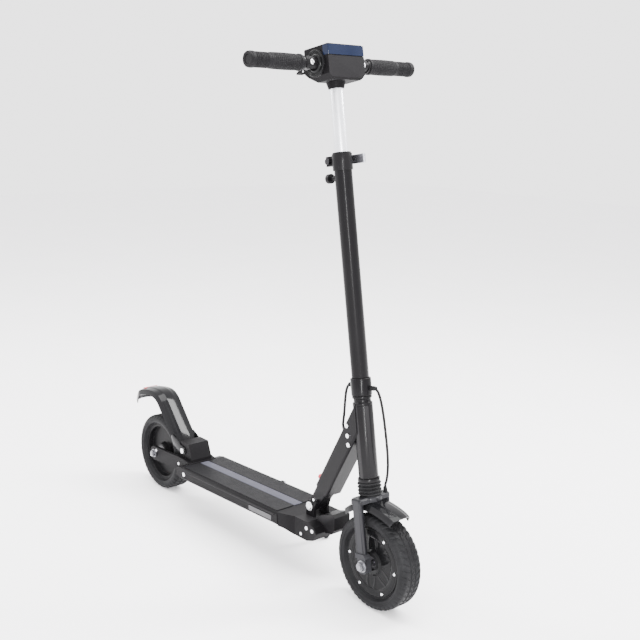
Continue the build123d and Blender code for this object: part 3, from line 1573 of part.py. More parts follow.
strut_entry = fold_pivot + strut_along * (strut_foot + 146.0) + strut_front * strut_rear_face
make_cable(
    [
        steer_point(front_gland_level, gland_reach, front_gland_side),
        steer_point(front_gland_level, 36.0, front_gland_side),
        steer_point(front_gland_level - 14.0, 43.0, 9.2),
        steer_point(front_gland_level - 42.0, 46.5, 11.0),
        steer_point(front_gland_level - 82.0, 47.0, 13.0),
        steer_point(front_gland_level - 120.0, 45.0, 16.0),
        steer_point(front_gland_level - 152.0, 40.0, 20.0),
        steer_point(front_gland_level - 178.0, 31.0, 25.0),
        steer_point(crown_top + 24.0, 20.0, 30.0),
        steer_point(crown_top + 14.0, 12.0, 32.0),
        steer_point(crown_top, 12.0, 32.0),
    ],
    "motor_cable",
)
make_cable(
    [
        steer_point(rear_gland_level, -gland_reach, 0),
        steer_point(rear_gland_level, -38.0, 0),
        steer_point(rear_gland_level - 12.0, -48.0, 1.0),
        steer_point(rear_gland_level - 36.0, -56.0, 2.0),
        steer_point(rear_gland_level - 66.0, -63.0, 2.4),
        strut_entry - strut_front * 16.0,
        strut_entry,
    ],
    "control_cable",
)
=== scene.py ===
import json
import math

import bmesh
import bpy
from mathutils import Matrix, Vector


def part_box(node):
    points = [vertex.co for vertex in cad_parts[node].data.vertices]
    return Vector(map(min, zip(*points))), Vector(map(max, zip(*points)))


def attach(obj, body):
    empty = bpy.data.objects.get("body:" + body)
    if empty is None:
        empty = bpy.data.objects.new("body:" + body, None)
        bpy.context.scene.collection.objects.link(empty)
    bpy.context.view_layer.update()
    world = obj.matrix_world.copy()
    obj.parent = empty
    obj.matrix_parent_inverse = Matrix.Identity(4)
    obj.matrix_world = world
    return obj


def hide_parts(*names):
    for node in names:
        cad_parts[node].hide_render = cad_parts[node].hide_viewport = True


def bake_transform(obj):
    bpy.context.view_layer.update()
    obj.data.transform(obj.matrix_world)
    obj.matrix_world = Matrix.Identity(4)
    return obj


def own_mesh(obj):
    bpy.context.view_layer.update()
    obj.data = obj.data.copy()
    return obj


# Looks of a folding electric kick scooter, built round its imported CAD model.
# Metres, +X forward, +Y to the rider's left, +Z up, ground at Z = 0.
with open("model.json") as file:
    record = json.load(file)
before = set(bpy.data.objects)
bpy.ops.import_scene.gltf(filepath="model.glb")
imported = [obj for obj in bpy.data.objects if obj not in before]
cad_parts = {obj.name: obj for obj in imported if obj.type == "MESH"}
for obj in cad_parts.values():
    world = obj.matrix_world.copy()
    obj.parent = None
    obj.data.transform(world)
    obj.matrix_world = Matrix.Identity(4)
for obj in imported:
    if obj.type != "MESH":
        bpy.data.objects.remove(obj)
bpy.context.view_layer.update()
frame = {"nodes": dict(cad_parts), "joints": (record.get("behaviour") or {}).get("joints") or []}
nodes = frame["nodes"]
joints = {joint["name"]: joint for joint in frame["joints"]}

# ---------------------------------------------------------------- places from the frame
steer_base = Vector(joints["steer"]["pos_m"])
steer_up = Vector(joints["steer"]["axis"]).normalized()
steer_forward = Vector((steer_up.z, 0.0, -steer_up.x))
left = Vector((0.0, 1.0, 0.0))
front_axle = Vector(joints["front_wheel_spin"]["pos_m"])
rear_axle = Vector(joints["rear_wheel_spin"]["pos_m"])
fold_pivot = Vector(joints["stem_fold"]["pos_m"])
fender_pivot = Vector(joints["foot_brake"]["pos_m"])


def steer_at(along, forward=0.0, side=0.0):
    """Point given along the steering axis, ahead of it and to its left."""
    return steer_base + steer_up * along + steer_forward * forward + left * side


def along_steer(point):
    return (Vector(point) - steer_base).dot(steer_up)


def node_span(node):
    """Lowest and highest value along the steering axis of a CAD node's points."""
    values = [along_steer(v.co) for v in nodes[node].data.vertices]
    return min(values), max(values)


# ---------------------------------------------------------------- material building
def new_material(name):
    material = bpy.data.materials.new(name)
    material.use_nodes = True
    tree = material.node_tree
    shader = tree.nodes["Principled BSDF"]
    return material, tree, shader


def add(tree, kind, **values):
    """Adds a node; values are its inputs by name, or its own settings in lower case."""
    node = tree.nodes.new(kind)
    for key, value in values.items():
        if hasattr(node, key):
            setattr(node, key, value)
        else:
            node.inputs[key.replace("_", " ")].default_value = value
    return node


def place(tree, scale=(1.0, 1.0, 1.0), rotation=(0.0, 0.0, 0.0)):
    """Object coordinates, scaled and turned."""
    coordinates = tree.nodes.new("ShaderNodeTexCoord")
    mapping = tree.nodes.new("ShaderNodeMapping")
    mapping.inputs["Scale"].default_value = scale
    mapping.inputs["Rotation"].default_value = rotation
    tree.links.new(coordinates.outputs["Object"], mapping.inputs["Vector"])
    return mapping.outputs["Vector"]


def noise(tree, vector, scale, detail=4.0, roughness=0.55):
    node = add(tree, "ShaderNodeTexNoise", Scale=scale, Detail=detail, Roughness=roughness)
    tree.links.new(vector, node.inputs["Vector"])
    return node.outputs["Fac"]


def ramp(tree, fac, stops):
    """Colour ramp; stops are (position, (r, g, b))."""
    node = tree.nodes.new("ShaderNodeValToRGB")
    elements = node.color_ramp.elements
    while len(elements) < len(stops):
        elements.new(0.5)
    for element, (position, colour) in zip(elements, stops):
        element.position = position
        element.color = (*colour, 1.0)
    tree.links.new(fac, node.inputs["Fac"])
    return node.outputs["Color"]


def spread(tree, fac, low, high):
    """Maps a 0 to 1 value onto low to high."""
    node = tree.nodes.new("ShaderNodeMapRange")
    node.inputs["To Min"].default_value = low
    node.inputs["To Max"].default_value = high
    tree.links.new(fac, node.inputs["Value"])
    return node.outputs["Result"]


def mixed(tree, fac, first, second):
    """Blend of two colours or colour sockets."""
    node = tree.nodes.new("ShaderNodeMix")
    node.data_type = "RGBA"
    for socket, value in (("Factor", fac), ("A", first), ("B", second)):
        kind = "VALUE" if socket == "Factor" else "RGBA"
        target = next(i for i in node.inputs if i.name == socket and i.type == kind)
        if isinstance(value, (int, float)):
            target.default_value = value
        elif isinstance(value, tuple):
            target.default_value = (*value, 1.0)
        else:
            tree.links.new(value, target)
    return next(o for o in node.outputs if o.type == "RGBA")


def edge_wear(tree, low=0.52, high=0.62):
    """Brightens convex edges; 0 on flats, 1 on sharp rims."""
    geometry = tree.nodes.new("ShaderNodeNewGeometry")
    node = tree.nodes.new("ShaderNodeMapRange")
    node.inputs["From Min"].default_value = low
    node.inputs["From Max"].default_value = high
    tree.links.new(geometry.outputs["Pointiness"], node.inputs["Value"])
    return node.outputs["Result"]


def bumps(tree, shader, layers):
    """Chains bump nodes; layers are (height, strength, distance)."""
    last = None
    for height, strength, distance in layers:
        node = add(tree, "ShaderNodeBump", Strength=strength, Distance=distance)
        tree.links.new(height, node.inputs["Height"])
        if last:
            tree.links.new(last.outputs["Normal"], node.inputs["Normal"])
        last = node
    tree.links.new(last.outputs["Normal"], shader.inputs["Normal"])


def coated(name, colour, roughness, coat=0.0, grain=900.0, grain_depth=0.00004, wear=0.35, shine=0.05):
    """Moulded or painted surface: fine grain, soft dust, scuffs and worn edges."""
    material, tree, shader = new_material(name)
    vector = place(tree)
    cloud = noise(tree, vector, 9.0, 5.0)
    scuff = noise(tree, place(tree, (40.0, 40.0, 9.0)), 5.0, 8.0, 0.7)
    dusty = ramp(tree, cloud, [(0.35, colour), (0.75, tuple(c + 0.0015 for c in colour))])
    bare = tuple(min(1.0, c * 3.0 + 0.03) for c in colour)
    worn = mixed(tree, spread(tree, edge_wear(tree), 0.0, wear), dusty, bare)
    tree.links.new(worn, shader.inputs["Base Color"])
    shader.inputs["Specular IOR Level"].default_value = shine
    shader.inputs["Coat Weight"].default_value = coat
    shader.inputs["Coat Roughness"].default_value = 0.08
    tree.links.new(spread(tree, scuff, roughness * 0.8, roughness * 1.25), shader.inputs["Roughness"])
    bumps(tree, shader, [(noise(tree, vector, grain, 2.0), 0.5, grain_depth), (scuff, 0.12, 0.0001)])
    return material


def metal(name, colour, roughness, brushed=(1.0, 1.0, 60.0), depth=0.00002):
    """Bare or anodised metal with a fine directional grain and faint stains."""
    material, tree, shader = new_material(name)
    streak = noise(tree, place(tree, brushed), 30.0, 6.0, 0.6)
    stain = noise(tree, place(tree), 14.0, 4.0)
    tint = ramp(tree, stain, [(0.3, tuple(c * 0.86 for c in colour)), (0.7, colour)])
    tree.links.new(tint, shader.inputs["Base Color"])
    shader.inputs["Metallic"].default_value = 1.0
    tree.links.new(spread(tree, streak, roughness * 0.7, roughness * 1.3), shader.inputs["Roughness"])
    bumps(tree, shader, [(streak, 0.3, depth)])
    return material


def rubber(name, colour, roughness=0.62, pores=1400.0, depth=0.00006):
    """Dull rubber: mottled, with fine pores and pale dust."""
    material, tree, shader = new_material(name)
    vector = place(tree)
    mottle = noise(tree, vector, 22.0, 6.0, 0.65)
    tint = ramp(tree, mottle, [(0.35, colour), (0.7, tuple(c * 1.5 + 0.002 for c in colour))])
    tree.links.new(tint, shader.inputs["Base Color"])
    shader.inputs["Specular IOR Level"].default_value = 0.07
    tree.links.new(spread(tree, mottle, roughness * 0.85, roughness * 1.15), shader.inputs["Roughness"])
    bumps(tree, shader, [(noise(tree, vector, pores, 3.0), 0.5, depth)])
    return material


def hatched(name, dark, pale, pitch, turn, depth):
    """Sheet of fine parallel ribs, paler on the crests and darker in the troughs, turned about the vertical.
    """
    material, tree, shader = new_material(name)
    wave = add(tree, "ShaderNodeTexWave", wave_type="BANDS", bands_direction="X",
               Scale=1.0 / pitch / math.tau * 3.1, Distortion=0.0)
    tree.links.new(place(tree, (1.0, 1.0, 1.0), (0.0, 0.0, turn)), wave.inputs["Vector"])
    height = wave.outputs["Fac"]
    grime = noise(tree, place(tree), 30.0, 6.0, 0.7)
    ribs = ramp(tree, height, [(0.25, dark), (0.7, pale)])
    tree.links.new(mixed(tree, spread(tree, grime, 0.0, 0.35), ribs, dark), shader.inputs["Base Color"])
    shader.inputs["Specular IOR Level"].default_value = 0.06
    tree.links.new(spread(tree, grime, 0.42, 0.62), shader.inputs["Roughness"])
    bumps(tree, shader, [(height, 0.8, depth), (grime, 0.2, 0.0001)])
    return material


def lens(name, colour, roughness=0.06, coat=1.0, facets=0.0):
    """Clear or smoked lens over a moulded pattern."""
    material, tree, shader = new_material(name)
    vector = place(tree)
    haze = noise(tree, vector, 16.0, 4.0)
    hazed = tuple(c * 1.25 + 0.004 for c in colour)
    tree.links.new(ramp(tree, haze, [(0.3, colour), (0.8, hazed)]), shader.inputs["Base Color"])
    shader.inputs["Coat Weight"].default_value = coat
    shader.inputs["Coat Roughness"].default_value = 0.03
    shader.inputs["Specular IOR Level"].default_value = 0.12
    tree.links.new(spread(tree, haze, roughness * 0.6, roughness * 1.6), shader.inputs["Roughness"])
    layers = [(noise(tree, vector, 300.0, 2.0), 0.05, 0.00005)]
    if facets:
        cells = add(tree, "ShaderNodeTexVoronoi", Scale=facets)
        tree.links.new(vector, cells.inputs["Vector"])
        layers.append((cells.outputs["Distance"], 0.6, 0.0005))
    bumps(tree, shader, layers)
    return material


black_paint = (0.0034, 0.0031, 0.0036)
satin_black = coated("satin_black_paint", black_paint, 0.3, coat=0.04, grain=700.0, shine=0.06)
deck_black = coated("deck_black_anodised", (0.0032, 0.003, 0.0034), 0.42, grain=500.0, wear=0.25)
cast_black = coated("cast_black_paint", black_paint, 0.46, grain=260.0, grain_depth=0.00016)
console_black = coated("console_textured_plastic", black_paint, 0.5, grain=1200.0, grain_depth=0.00008,
                       wear=0.15, shine=0.04)
fender_gloss = coated("fender_glossy_plastic", (0.003, 0.003, 0.0035), 0.2, coat=0.16, grain=160.0,
                      grain_depth=0.00003, wear=0.15)
hub_gloss = coated("hub_glossy_black", (0.003, 0.003, 0.0033), 0.22, coat=0.08, grain=220.0,
                   grain_depth=0.00003, wear=0.2)
rim_black = coated("rim_black_paint", (0.0034, 0.0033, 0.0037), 0.36, coat=0.03, grain=400.0, wear=0.3)
fork_grey = coated("fork_dark_paint", (0.0075, 0.0075, 0.0088), 0.34, coat=0.03, grain=500.0, wear=0.3,
                   shine=0.06)
mast_silver = metal("mast_bright_anodised", (0.92, 0.93, 0.97), 0.34, brushed=(1.0, 1.0, 14.0))
bright_steel = metal("bright_zinc_steel", (0.82, 0.82, 0.84), 0.24, brushed=(9.0, 9.0, 9.0))
dull_steel = metal("dull_zinc_steel", (0.22, 0.22, 0.235), 0.36, brushed=(9.0, 9.0, 9.0))
dark_steel = metal("blackened_steel", (0.035, 0.034, 0.037), 0.42, brushed=(9.0, 9.0, 9.0))
alloy_grey = metal("cast_alloy", (0.3, 0.3, 0.33), 0.38, brushed=(4.0, 4.0, 4.0), depth=0.00006)
stator_copper = metal("wound_copper", (0.7, 0.36, 0.2), 0.4, brushed=(1.0, 60.0, 1.0))
tyre_rubber = rubber("tyre_rubber", (0.0055, 0.0055, 0.006), 0.5, 900.0, 0.00008)
soft_rubber = rubber("soft_rubber", (0.007, 0.007, 0.0075), 0.5)
grip_rubber = rubber("grip_rubber", (0.004, 0.0038, 0.0043), 0.55, 700.0, 0.00012)
mat_rubber = hatched("deck_mat_rubber", (0.0045, 0.0045, 0.005), (0.0085, 0.0082, 0.0092), 0.004, 0.0, 0.0004)
strip_rubber = hatched("deck_strip_rubber", (0.02, 0.02, 0.025), (0.09, 0.09, 0.115), 0.005, 0.7, 0.0005)
red_lens = lens("tail_lamp_red", (0.4, 0.01, 0.02), facets=260.0)
smoked_lens = lens("smoked_lamp_window", (0.002, 0.005, 0.018), 0.12, coat=0.06)
display_glass = lens("display_window_black", (0.003, 0.005, 0.012), 0.03, coat=0.4)
reflector_lens = lens("side_reflector", (0.035, 0.034, 0.037), 0.2, coat=0.3, facets=380.0)
red_plastic = coated("red_plastic", (0.4, 0.02, 0.035), 0.3, coat=0.3, wear=0.1)
board_green = coated("circuit_board", (0.01, 0.09, 0.03), 0.4, wear=0.0)
battery_wrap = coated("battery_wrap", (0.02, 0.06, 0.25), 0.35, wear=0.0)

finishes = [
    (rim_black, ["front_rim", "rear_rim"]),
    (hub_gloss, ["front_hub_covers"]),
    (bright_steel, ["hub_cover_bolts", "fold_pin", "deck_fasteners", "headset_bearings", "neck_bolts",
                    "hinge_pins"]),
    (dark_steel, ["clamp_bolt", "front_hub_bearings", "rear_hub_bearings"]),
    (dull_steel, ["front_axle", "rear_axle"]),
    (stator_copper, ["motor_stator"]),
    (tyre_rubber, ["front_tyre", "rear_tyre"]),
    (deck_black, ["deck_shell", "deck_cover", "kickstand_bracket"]),
    (mat_rubber, ["grip_mat"]),
    (strip_rubber, ["grip_strip"]),
    (battery_wrap, ["battery_pack"]),
    (alloy_grey, ["motor_controller", "clamp_lever"]),
    (soft_rubber, ["charge_cap", "brake_pad", "kickstand_foot", "power_button", "fork_boot", "cable_glands",
                   "motor_cable", "control_cable"]),
    (cast_black, ["front_casting", "rear_frame"]),
    (reflector_lens, ["side_reflectors"]),
    (fender_gloss, ["rear_fender", "front_fender"]),
    (red_lens, ["tail_light"]),
    (red_plastic, ["release_button"]),
    (satin_black, ["kickstand_leg", "handlebar_core", "neck_frame", "steerer_tube", "stem_sleeve",
                   "clamp_collar", "stem_tube", "handlebar_left", "handlebar_right"]),
    (fork_grey, ["fork"]),
    (mast_silver, ["mast_tube"]),
    (console_black, ["console_base", "console_cover", "throttle_lever", "brake_lever"]),
    (smoked_lens, ["lamp_lens"]),
    (display_glass, ["display_window"]),
    (board_green, ["console_electronics"]),
    (grip_rubber, ["grip_left", "grip_right"]),
]
for finish, node_names in finishes:
    for node_name in node_names:
        node_mesh = nodes[node_name].data
        node_mesh.materials.clear()
        node_mesh.materials.append(finish)


# ---------------------------------------------------------------- mesh building
def make_object(name, mesh, material, body, *replaced):
    """Finished piece from a mesh: shaded, given its material and set riding on its body."""
    piece = bpy.data.objects.new(name, mesh)
    bpy.context.scene.collection.objects.link(piece)
    mesh.materials.append(material)
    if body:
        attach(piece, body)
    if replaced:
        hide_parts(*replaced)
    return piece


def from_bmesh(name, bm, smooth=True):
    """Mesh from a bmesh, its normals outward, and the bmesh freed."""
    bmesh.ops.recalc_face_normals(bm, faces=bm.faces)
    for face in bm.faces:
        face.smooth = smooth
    mesh = bpy.data.meshes.new(name)
    bm.to_mesh(mesh)
    bm.free()
    return mesh


def smooth_by_angle(piece, degrees=32.0):
    """Smooth shading except across sharp edges."""
    mesh = piece.data
    bm = bmesh.new()
    bm.from_mesh(mesh)
    for edge in bm.edges:
        edge.smooth = len(edge.link_faces) == 2 and edge.calc_face_angle() < math.radians(degrees)
    bm.to_mesh(mesh)
    bm.free()


def lathe_mesh(name, centre, axis, across, profile, steps, lift=None):
    """Turns a closed profile of (distance along axis, radius) round an axis.

    lift(along, radius, angle) adds to the radius, for treads and ribs."""
    up = axis.cross(across)
    bm = bmesh.new()
    rings = []
    for step in range(steps):
        angle = math.tau * step / steps
        outward = across * math.cos(angle) + up * math.sin(angle)
        ring = []
        for along, radius in profile:
            grown = radius + (lift(along, radius, angle) if lift else 0.0)
            ring.append(bm.verts.new(centre + axis * along + outward * grown))
        rings.append(ring)
    for step in range(steps):
        this, following = rings[step], rings[(step + 1) % steps]
        for i in range(len(profile)):
            j = (i + 1) % len(profile)
            bm.faces.new((this[i], this[j], following[j], following[i]))
    return from_bmesh(name, bm)


def sheet_mesh(name, rows, thickness):
    """Sheet through rows of points, with an inner skin offset by thickness and closed rims."""
    bm = bmesh.new()
    grid = [[bm.verts.new(point) for point in row] for row in rows]
    for a, b in zip(grid, grid[1:]):
        for i in range(len(a) - 1):
            bm.faces.new((a[i], a[i + 1], b[i + 1], b[i]))
    bmesh.ops.recalc_face_normals(bm, faces=bm.faces)
    bmesh.ops.solidify(bm, geom=bm.faces[:], thickness=thickness)
    return from_bmesh(name, bm)


def walk(start, heading, legs, step=0.004):
    """Points and headings along a path in the XZ plane.

    legs are ("line", length) or ("arc", radius, degrees), positive turning upward from +X."""
    x, z = start
    turn = math.radians(heading)
    path = [(x, z, turn)]
    for leg in legs:
        if leg[0] == "line":
            count = max(1, round(leg[1] / step))
            for _ in range(count):
                x += math.cos(turn) * leg[1] / count
                z += math.sin(turn) * leg[1] / count
                path.append((x, z, turn))
        else:
            sweep = math.radians(leg[2])
            count = max(2, round(abs(sweep) * leg[1] / step))
            for _ in range(count):
                part = sweep / count
                chord = 2 * leg[1] * math.sin(abs(part) / 2)
                x += math.cos(turn + part / 2) * chord
                z += math.sin(turn + part / 2) * chord
                turn += part
                path.append((x, z, turn))
    return path


def bevelled(node, width, segments=3, angle=32.0):
    """Rounds a CAD node's sharp edges so that they catch the light."""
    piece = nodes[node]
    weld = piece.modifiers.new("weld", "WELD")
    weld.merge_threshold = 0.00001
    bevel = piece.modifiers.new("bevel", "BEVEL")
    bevel.width = width
    bevel.segments = segments
    bevel.limit_method = "ANGLE"
    bevel.angle_limit = math.radians(angle)
    bevel.harden_normals = True


# ---------------------------------------------------------------- tyres
tyre_low, tyre_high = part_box("front_tyre")
tyre_radius = (tyre_high.z - tyre_low.z) / 2
tyre_half = (tyre_high.y - tyre_low.y) / 2
rim_low, rim_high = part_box("front_rim")
rim_radius = (rim_high.z - rim_low.z) / 2


def tyre_profile():
    """Closed section of a tyre: crown, shoulders, sidewalls with a raised band, beads."""
    crown_half = 0.0165
    shoulder_reach = tyre_half - crown_half - 0.0004
    shoulder_drop = 0.012
    right = []
    for i in range(15):
        right.append((crown_half * i / 14, tyre_radius))
    for i in range(1, 9):
        t = i / 8 * math.pi / 2
        right.append((crown_half + shoulder_reach * math.sin(t),
                      tyre_radius - shoulder_drop * (1 - math.cos(t))))
    right += [(tyre_half - 0.0003, tyre_radius - 0.0145), (tyre_half - 0.0011, tyre_radius - 0.0148),
              (tyre_half - 0.0013, tyre_radius - 0.0165), (tyre_half - 0.0027, tyre_radius - 0.0205),
              (0.0178, rim_radius + 0.0018), (0.0172, rim_radius + 0.0002)]
    return [(-y, r) for y, r in reversed(right)] + right[1:]


def tread(along, radius, angle):
    """Tread: two ring grooves, wavy diagonal sipes on the shoulders and small centre cuts."""
    blocks = 46
    groove_inner, groove_outer = 0.0045, 0.0072
    if radius < tyre_radius - 0.009:
        return 0.0
    y = abs(along)
    phase = angle * blocks / math.tau + (0.5 if along > 0 else 0.0)
    if groove_inner < y < groove_outer:
        return -0.0016
    if y > groove_outer and (phase + (y - groove_outer) * 48.0) % 1.0 < 0.34:
        return -0.0015
    if y < groove_inner - 0.0003 and (phase + along * 60.0) % 1.0 < 0.2:
        return -0.001
    return 0.0


for end, axle, body in (("front", front_axle, "front_wheel"), ("rear", rear_axle, "rear_wheel")):
    name = f"{end}_tyre_tread"
    tyre_mesh = lathe_mesh(name, axle, left, Vector((1, 0, 0)), tyre_profile(), 460, tread)
    tyre = make_object(name, tyre_mesh, tyre_rubber, body, f"{end}_tyre")
    smooth_by_angle(tyre, 24.0)

# ---------------------------------------------------------------- front hub covers
cover_low, cover_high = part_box("front_hub_covers")
cover_radius = (cover_high.z - cover_low.z) / 2
cover_bore = 0.0155
cover_face = 0.0189
bolt_circle = 0.066
bolt_seat = 0.0201


def hub_cover(side):
    """Dished motor cover with six shallow V facets between its bolts."""
    bm = bmesh.new()
    steps, rings = 216, 30
    rows = []
    for ring in range(rings + 1):
        radius = cover_bore + (cover_radius - cover_bore) * ring / rings
        row = []
        for step in range(steps):
            angle = math.tau * step / steps
            part = (step / steps * 6) % 1.0
            ridge = 1.0 - abs(part - 0.5) * 2.0
            reach = min(1.0, max(0.0, (radius - 0.027) / 0.028))
            fall = min(1.0, max(0.0, (0.0585 - radius) / 0.004))
            facet = max(0.0, 1.0 - abs(ridge - 0.28 - 0.42 * reach) / 0.16) * fall * reach ** 0.5
            boss = 0.0032 * max(0.0, min(1.0, (0.0268 - radius) / 0.004))
            lip = 0.0016 * max(0.0, min(1.0, (radius - 0.0565) / 0.0025))
            drop = 0.0022 * max(0.0, (radius - cover_radius + 0.003) / 0.003)
            y = cover_face + boss + lip - drop + 0.0012 * facet
            spot = Vector((radius * math.cos(angle), side * y, radius * math.sin(angle)))
            row.append(bm.verts.new(front_axle + spot))
        rows.append(row)
    for a, b in zip(rows, rows[1:]):
        for step in range(steps):
            nxt = (step + 1) % steps
            bm.faces.new((a[step], a[nxt], b[nxt], b[step]))
    return from_bmesh("cover", bm)


for side, side_name in ((1, "left"), (-1, "right")):
    cover = make_object(f"hub_cover_{side_name}", hub_cover(side), hub_gloss, "front_wheel")

# ---------------------------------------------------------------- fenders
sheet_thickness = 0.0022


def fender_rows(path, half, crown, lip, across=27, outward=1.0):
    """Rows across a fender: crowned, with a flat raised centre band and turned-down lips."""
    rows = []
    for index, (x, z, turn) in enumerate(path):
        normal = Vector((-math.sin(turn), 0.0, math.cos(turn))) * outward
        centre = Vector((x, 0.0, z))
        ends = min(1.0, index / 4.0, (len(path) - 1 - index) / 4.0)
        row = []
        for i in range(across):
            v = 2.0 * i / (across - 1) - 1.0
            arch = crown * (1.0 - abs(v) ** 2.6)
            band = 0.0012 if abs(v) < 0.42 else 0.0
            edge = -lip * max(0.0, abs(v) - 0.86) / 0.14
            width = half * (0.955 + 0.045 * ends)
            row.append(centre + normal * (arch + band + edge) + left * (v * width))
        rows.append(row)
    return rows


rear_low, rear_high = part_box("rear_fender")
hug_radius = 0.110
hug_start, hug_end = 22.0, 42.0
rear_start = (
    rear_axle.x + hug_radius * math.cos(math.radians(hug_start)),
    rear_axle.z + hug_radius * math.sin(math.radians(hug_start)),
)
rear_path = walk(
    rear_start,
    hug_start + 90.0,
    [("arc", hug_radius, hug_end - hug_start), ("line", 0.093), ("arc", 0.058, 90.0 - hug_end),
     ("arc", 0.1959, 20.0), ("arc", 0.020, 45.0), ("line", 0.024)],
)
rear_half = (rear_high.y - rear_low.y) / 2
rear_rows = fender_rows(rear_path, rear_half, 0.0045, 0.012, outward=-1.0)
rear_shell = sheet_mesh("rear_fender_shell", rear_rows, sheet_thickness)
rear_sheet = make_object("rear_fender_shell", rear_shell, fender_gloss, "rear_fender", "rear_fender")
smooth_by_angle(rear_sheet, 40.0)

front_low, front_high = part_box("front_fender")
shield_radius, shield_start = 0.1225, 132.0
beak_bend, beak_length = 0.260, 0.052
front_start = (
    front_axle.x + shield_radius * math.cos(math.radians(shield_start)),
    front_axle.z + shield_radius * math.sin(math.radians(shield_start)),
)
front_path = walk(
    front_start,
    shield_start - 90.0,
    [("arc", shield_radius, -44.0), ("arc", beak_bend, -math.degrees(beak_length / beak_bend)),
     ("arc", 0.040, -14.0)],
)
front_half = (front_high.y - front_low.y) / 2
beak_rows = fender_rows(front_path, front_half, 0.0035, 0.011)
for index, row in enumerate(beak_rows):
    # the beak narrows a little forward, and its corners droop and sweep back
    along = max(0.0, (front_path[index][0] - front_axle.x) / 0.070)
    for i, point in enumerate(row):
        v = 2.0 * i / (len(row) - 1) - 1.0
        point.y *= 1.0 - 0.04 * along
        point.z -= 0.004 * along * abs(v) ** 2.0
        point.x -= 0.008 * along ** 4 * abs(v) ** 2.0
front_shell = sheet_mesh("front_fender_shell", beak_rows, sheet_thickness)
front_sheet = make_object("front_fender_shell", front_shell, fender_gloss, "fork", "front_fender")
smooth_by_angle(front_sheet, 40.0)

# side ears of the rear fender, round its hinge
ear_radius = 0.010
ear_thickness = 0.0028
for side, side_name in ((1, "left"), (-1, "right")):
    bm = bmesh.new()
    outline = [(-0.037, -ear_radius), (0.0, -ear_radius)]
    for degrees in range(-75, 91, 15):
        angle = math.radians(degrees)
        outline.append((ear_radius * math.cos(angle), ear_radius * math.sin(angle)))
    outline += [(-0.016, 0.013), (-0.034, 0.022), (-0.052, 0.030), (-0.0585, 0.0235), (-0.047, 0.002)]
    inner_y = side * (rear_half - ear_thickness)
    face = bm.faces.new([bm.verts.new(fender_pivot + Vector((x, inner_y, z))) for x, z in outline])
    moved = bmesh.ops.extrude_face_region(bm, geom=[face])
    outer = [v for v in moved["geom"] if isinstance(v, bmesh.types.BMVert)]
    bmesh.ops.translate(bm, vec=left * side * ear_thickness, verts=outer)
    bmesh.ops.bevel(bm, geom=bm.edges[:], offset=0.0007, segments=2, affect="EDGES", profile=0.5)
    ear = make_object(f"rear_fender_ear_{side_name}", from_bmesh("ear", bm), fender_gloss, "rear_fender")
    smooth_by_angle(ear, 40.0)


# ---------------------------------------------------------------- fasteners
def loose_parts(node):
    """Points of each separate solid of a CAD node."""
    bm = bmesh.new()
    bm.from_mesh(nodes[node].data)
    bmesh.ops.remove_doubles(bm, verts=bm.verts, dist=0.000005)
    seen, parts = set(), []
    for vert in bm.verts:
        if vert.index in seen:
            continue
        stack, points = [vert], []
        seen.add(vert.index)
        while stack:
            current = stack.pop()
            points.append(current.co.copy())
            for edge in current.link_edges:
                other = edge.other_vert(current)
                if other.index not in seen:
                    seen.add(other.index)
                    stack.append(other)
        parts.append(points)
    bm.free()
    return parts


def bolt_head_mesh(name, base, outward, radius, height, socket=0.5):
    """Button-head cap screw with a hexagonal socket, standing on base."""
    outward = outward.normalized()
    across = outward.orthogonal().normalized()
    profile = [(0.0, 0.98), (0.25, 1.0), (0.55, 0.93), (0.82, 0.78), (0.97, 0.62), (1.0, socket + 0.06),
               (0.97, socket)]
    bm = bmesh.new()
    up = outward.cross(across)
    steps = 36
    spokes = [math.tau * s / steps for s in range(steps)]

    def ring_at(height_share, radii):
        """One ring of points at a share of the height, with a radius for each spoke."""
        middle = base + outward * height * height_share
        return [bm.verts.new(middle + (across * math.cos(a) + up * math.sin(a)) * r)
                for a, r in zip(spokes, radii)]

    rings = [ring_at(share, [radius * r] * steps) for share, r in profile]
    for share in (0.97, 0.42):
        flats = [math.cos(math.pi / 6) / math.cos((a % (math.pi / 3)) - math.pi / 6) for a in spokes]
        rings.append(ring_at(share, [radius * socket * 0.97 * flat for flat in flats]))
    for a, b in zip(rings, rings[1:]):
        for s in range(steps):
            bm.faces.new((a[s], a[(s + 1) % steps], b[(s + 1) % steps], b[s]))
    bm.faces.new(rings[-1])
    return from_bmesh(name, bm)


def merge(name, meshes, material, body, *replaced):
    """Joins meshes into one piece."""
    bm = bmesh.new()
    for mesh in meshes:
        bm.from_mesh(mesh)
        bpy.data.meshes.remove(mesh)
    mesh = bpy.data.meshes.new(name)
    bm.to_mesh(mesh)
    bm.free()
    piece = make_object(name, mesh, material, body, *replaced)
    smooth_by_angle(piece, 35.0)
    return piece


heads = []
for side in (1, -1):
    for turn in range(6):
        angle = math.radians(60.0 * turn)
        seat = front_axle + Vector((bolt_circle * math.cos(angle), side * bolt_seat,
                                    bolt_circle * math.sin(angle)))
        heads.append(bolt_head_mesh("head", seat, left * side, 0.0034, 0.0017))
merge("hub_cover_bolt_heads", heads, bright_steel, "front_wheel", "hub_cover_bolts")


def side_bolts(node):
    """Seat, side and size of each separate solid of a node, for heads that face sideways."""
    for points in loose_parts(node):
        low = Vector([min(p[i] for p in points) for i in range(3)])
        high = Vector([max(p[i] for p in points) for i in range(3)])
        side = 1 if low.y > 0 else -1
        seat = Vector(((low.x + high.x) / 2, low.y if side > 0 else high.y, (low.z + high.z) / 2))
        yield seat, side, high - low, abs(low.y + high.y) / 2


heads = [bolt_head_mesh("head", seat, left * side, size.x / 2, 0.003)
         for seat, side, size, reach in side_bolts("neck_bolts") if size.y < 0.01]
merge("neck_bolt_heads", heads, bright_steel, "neck")

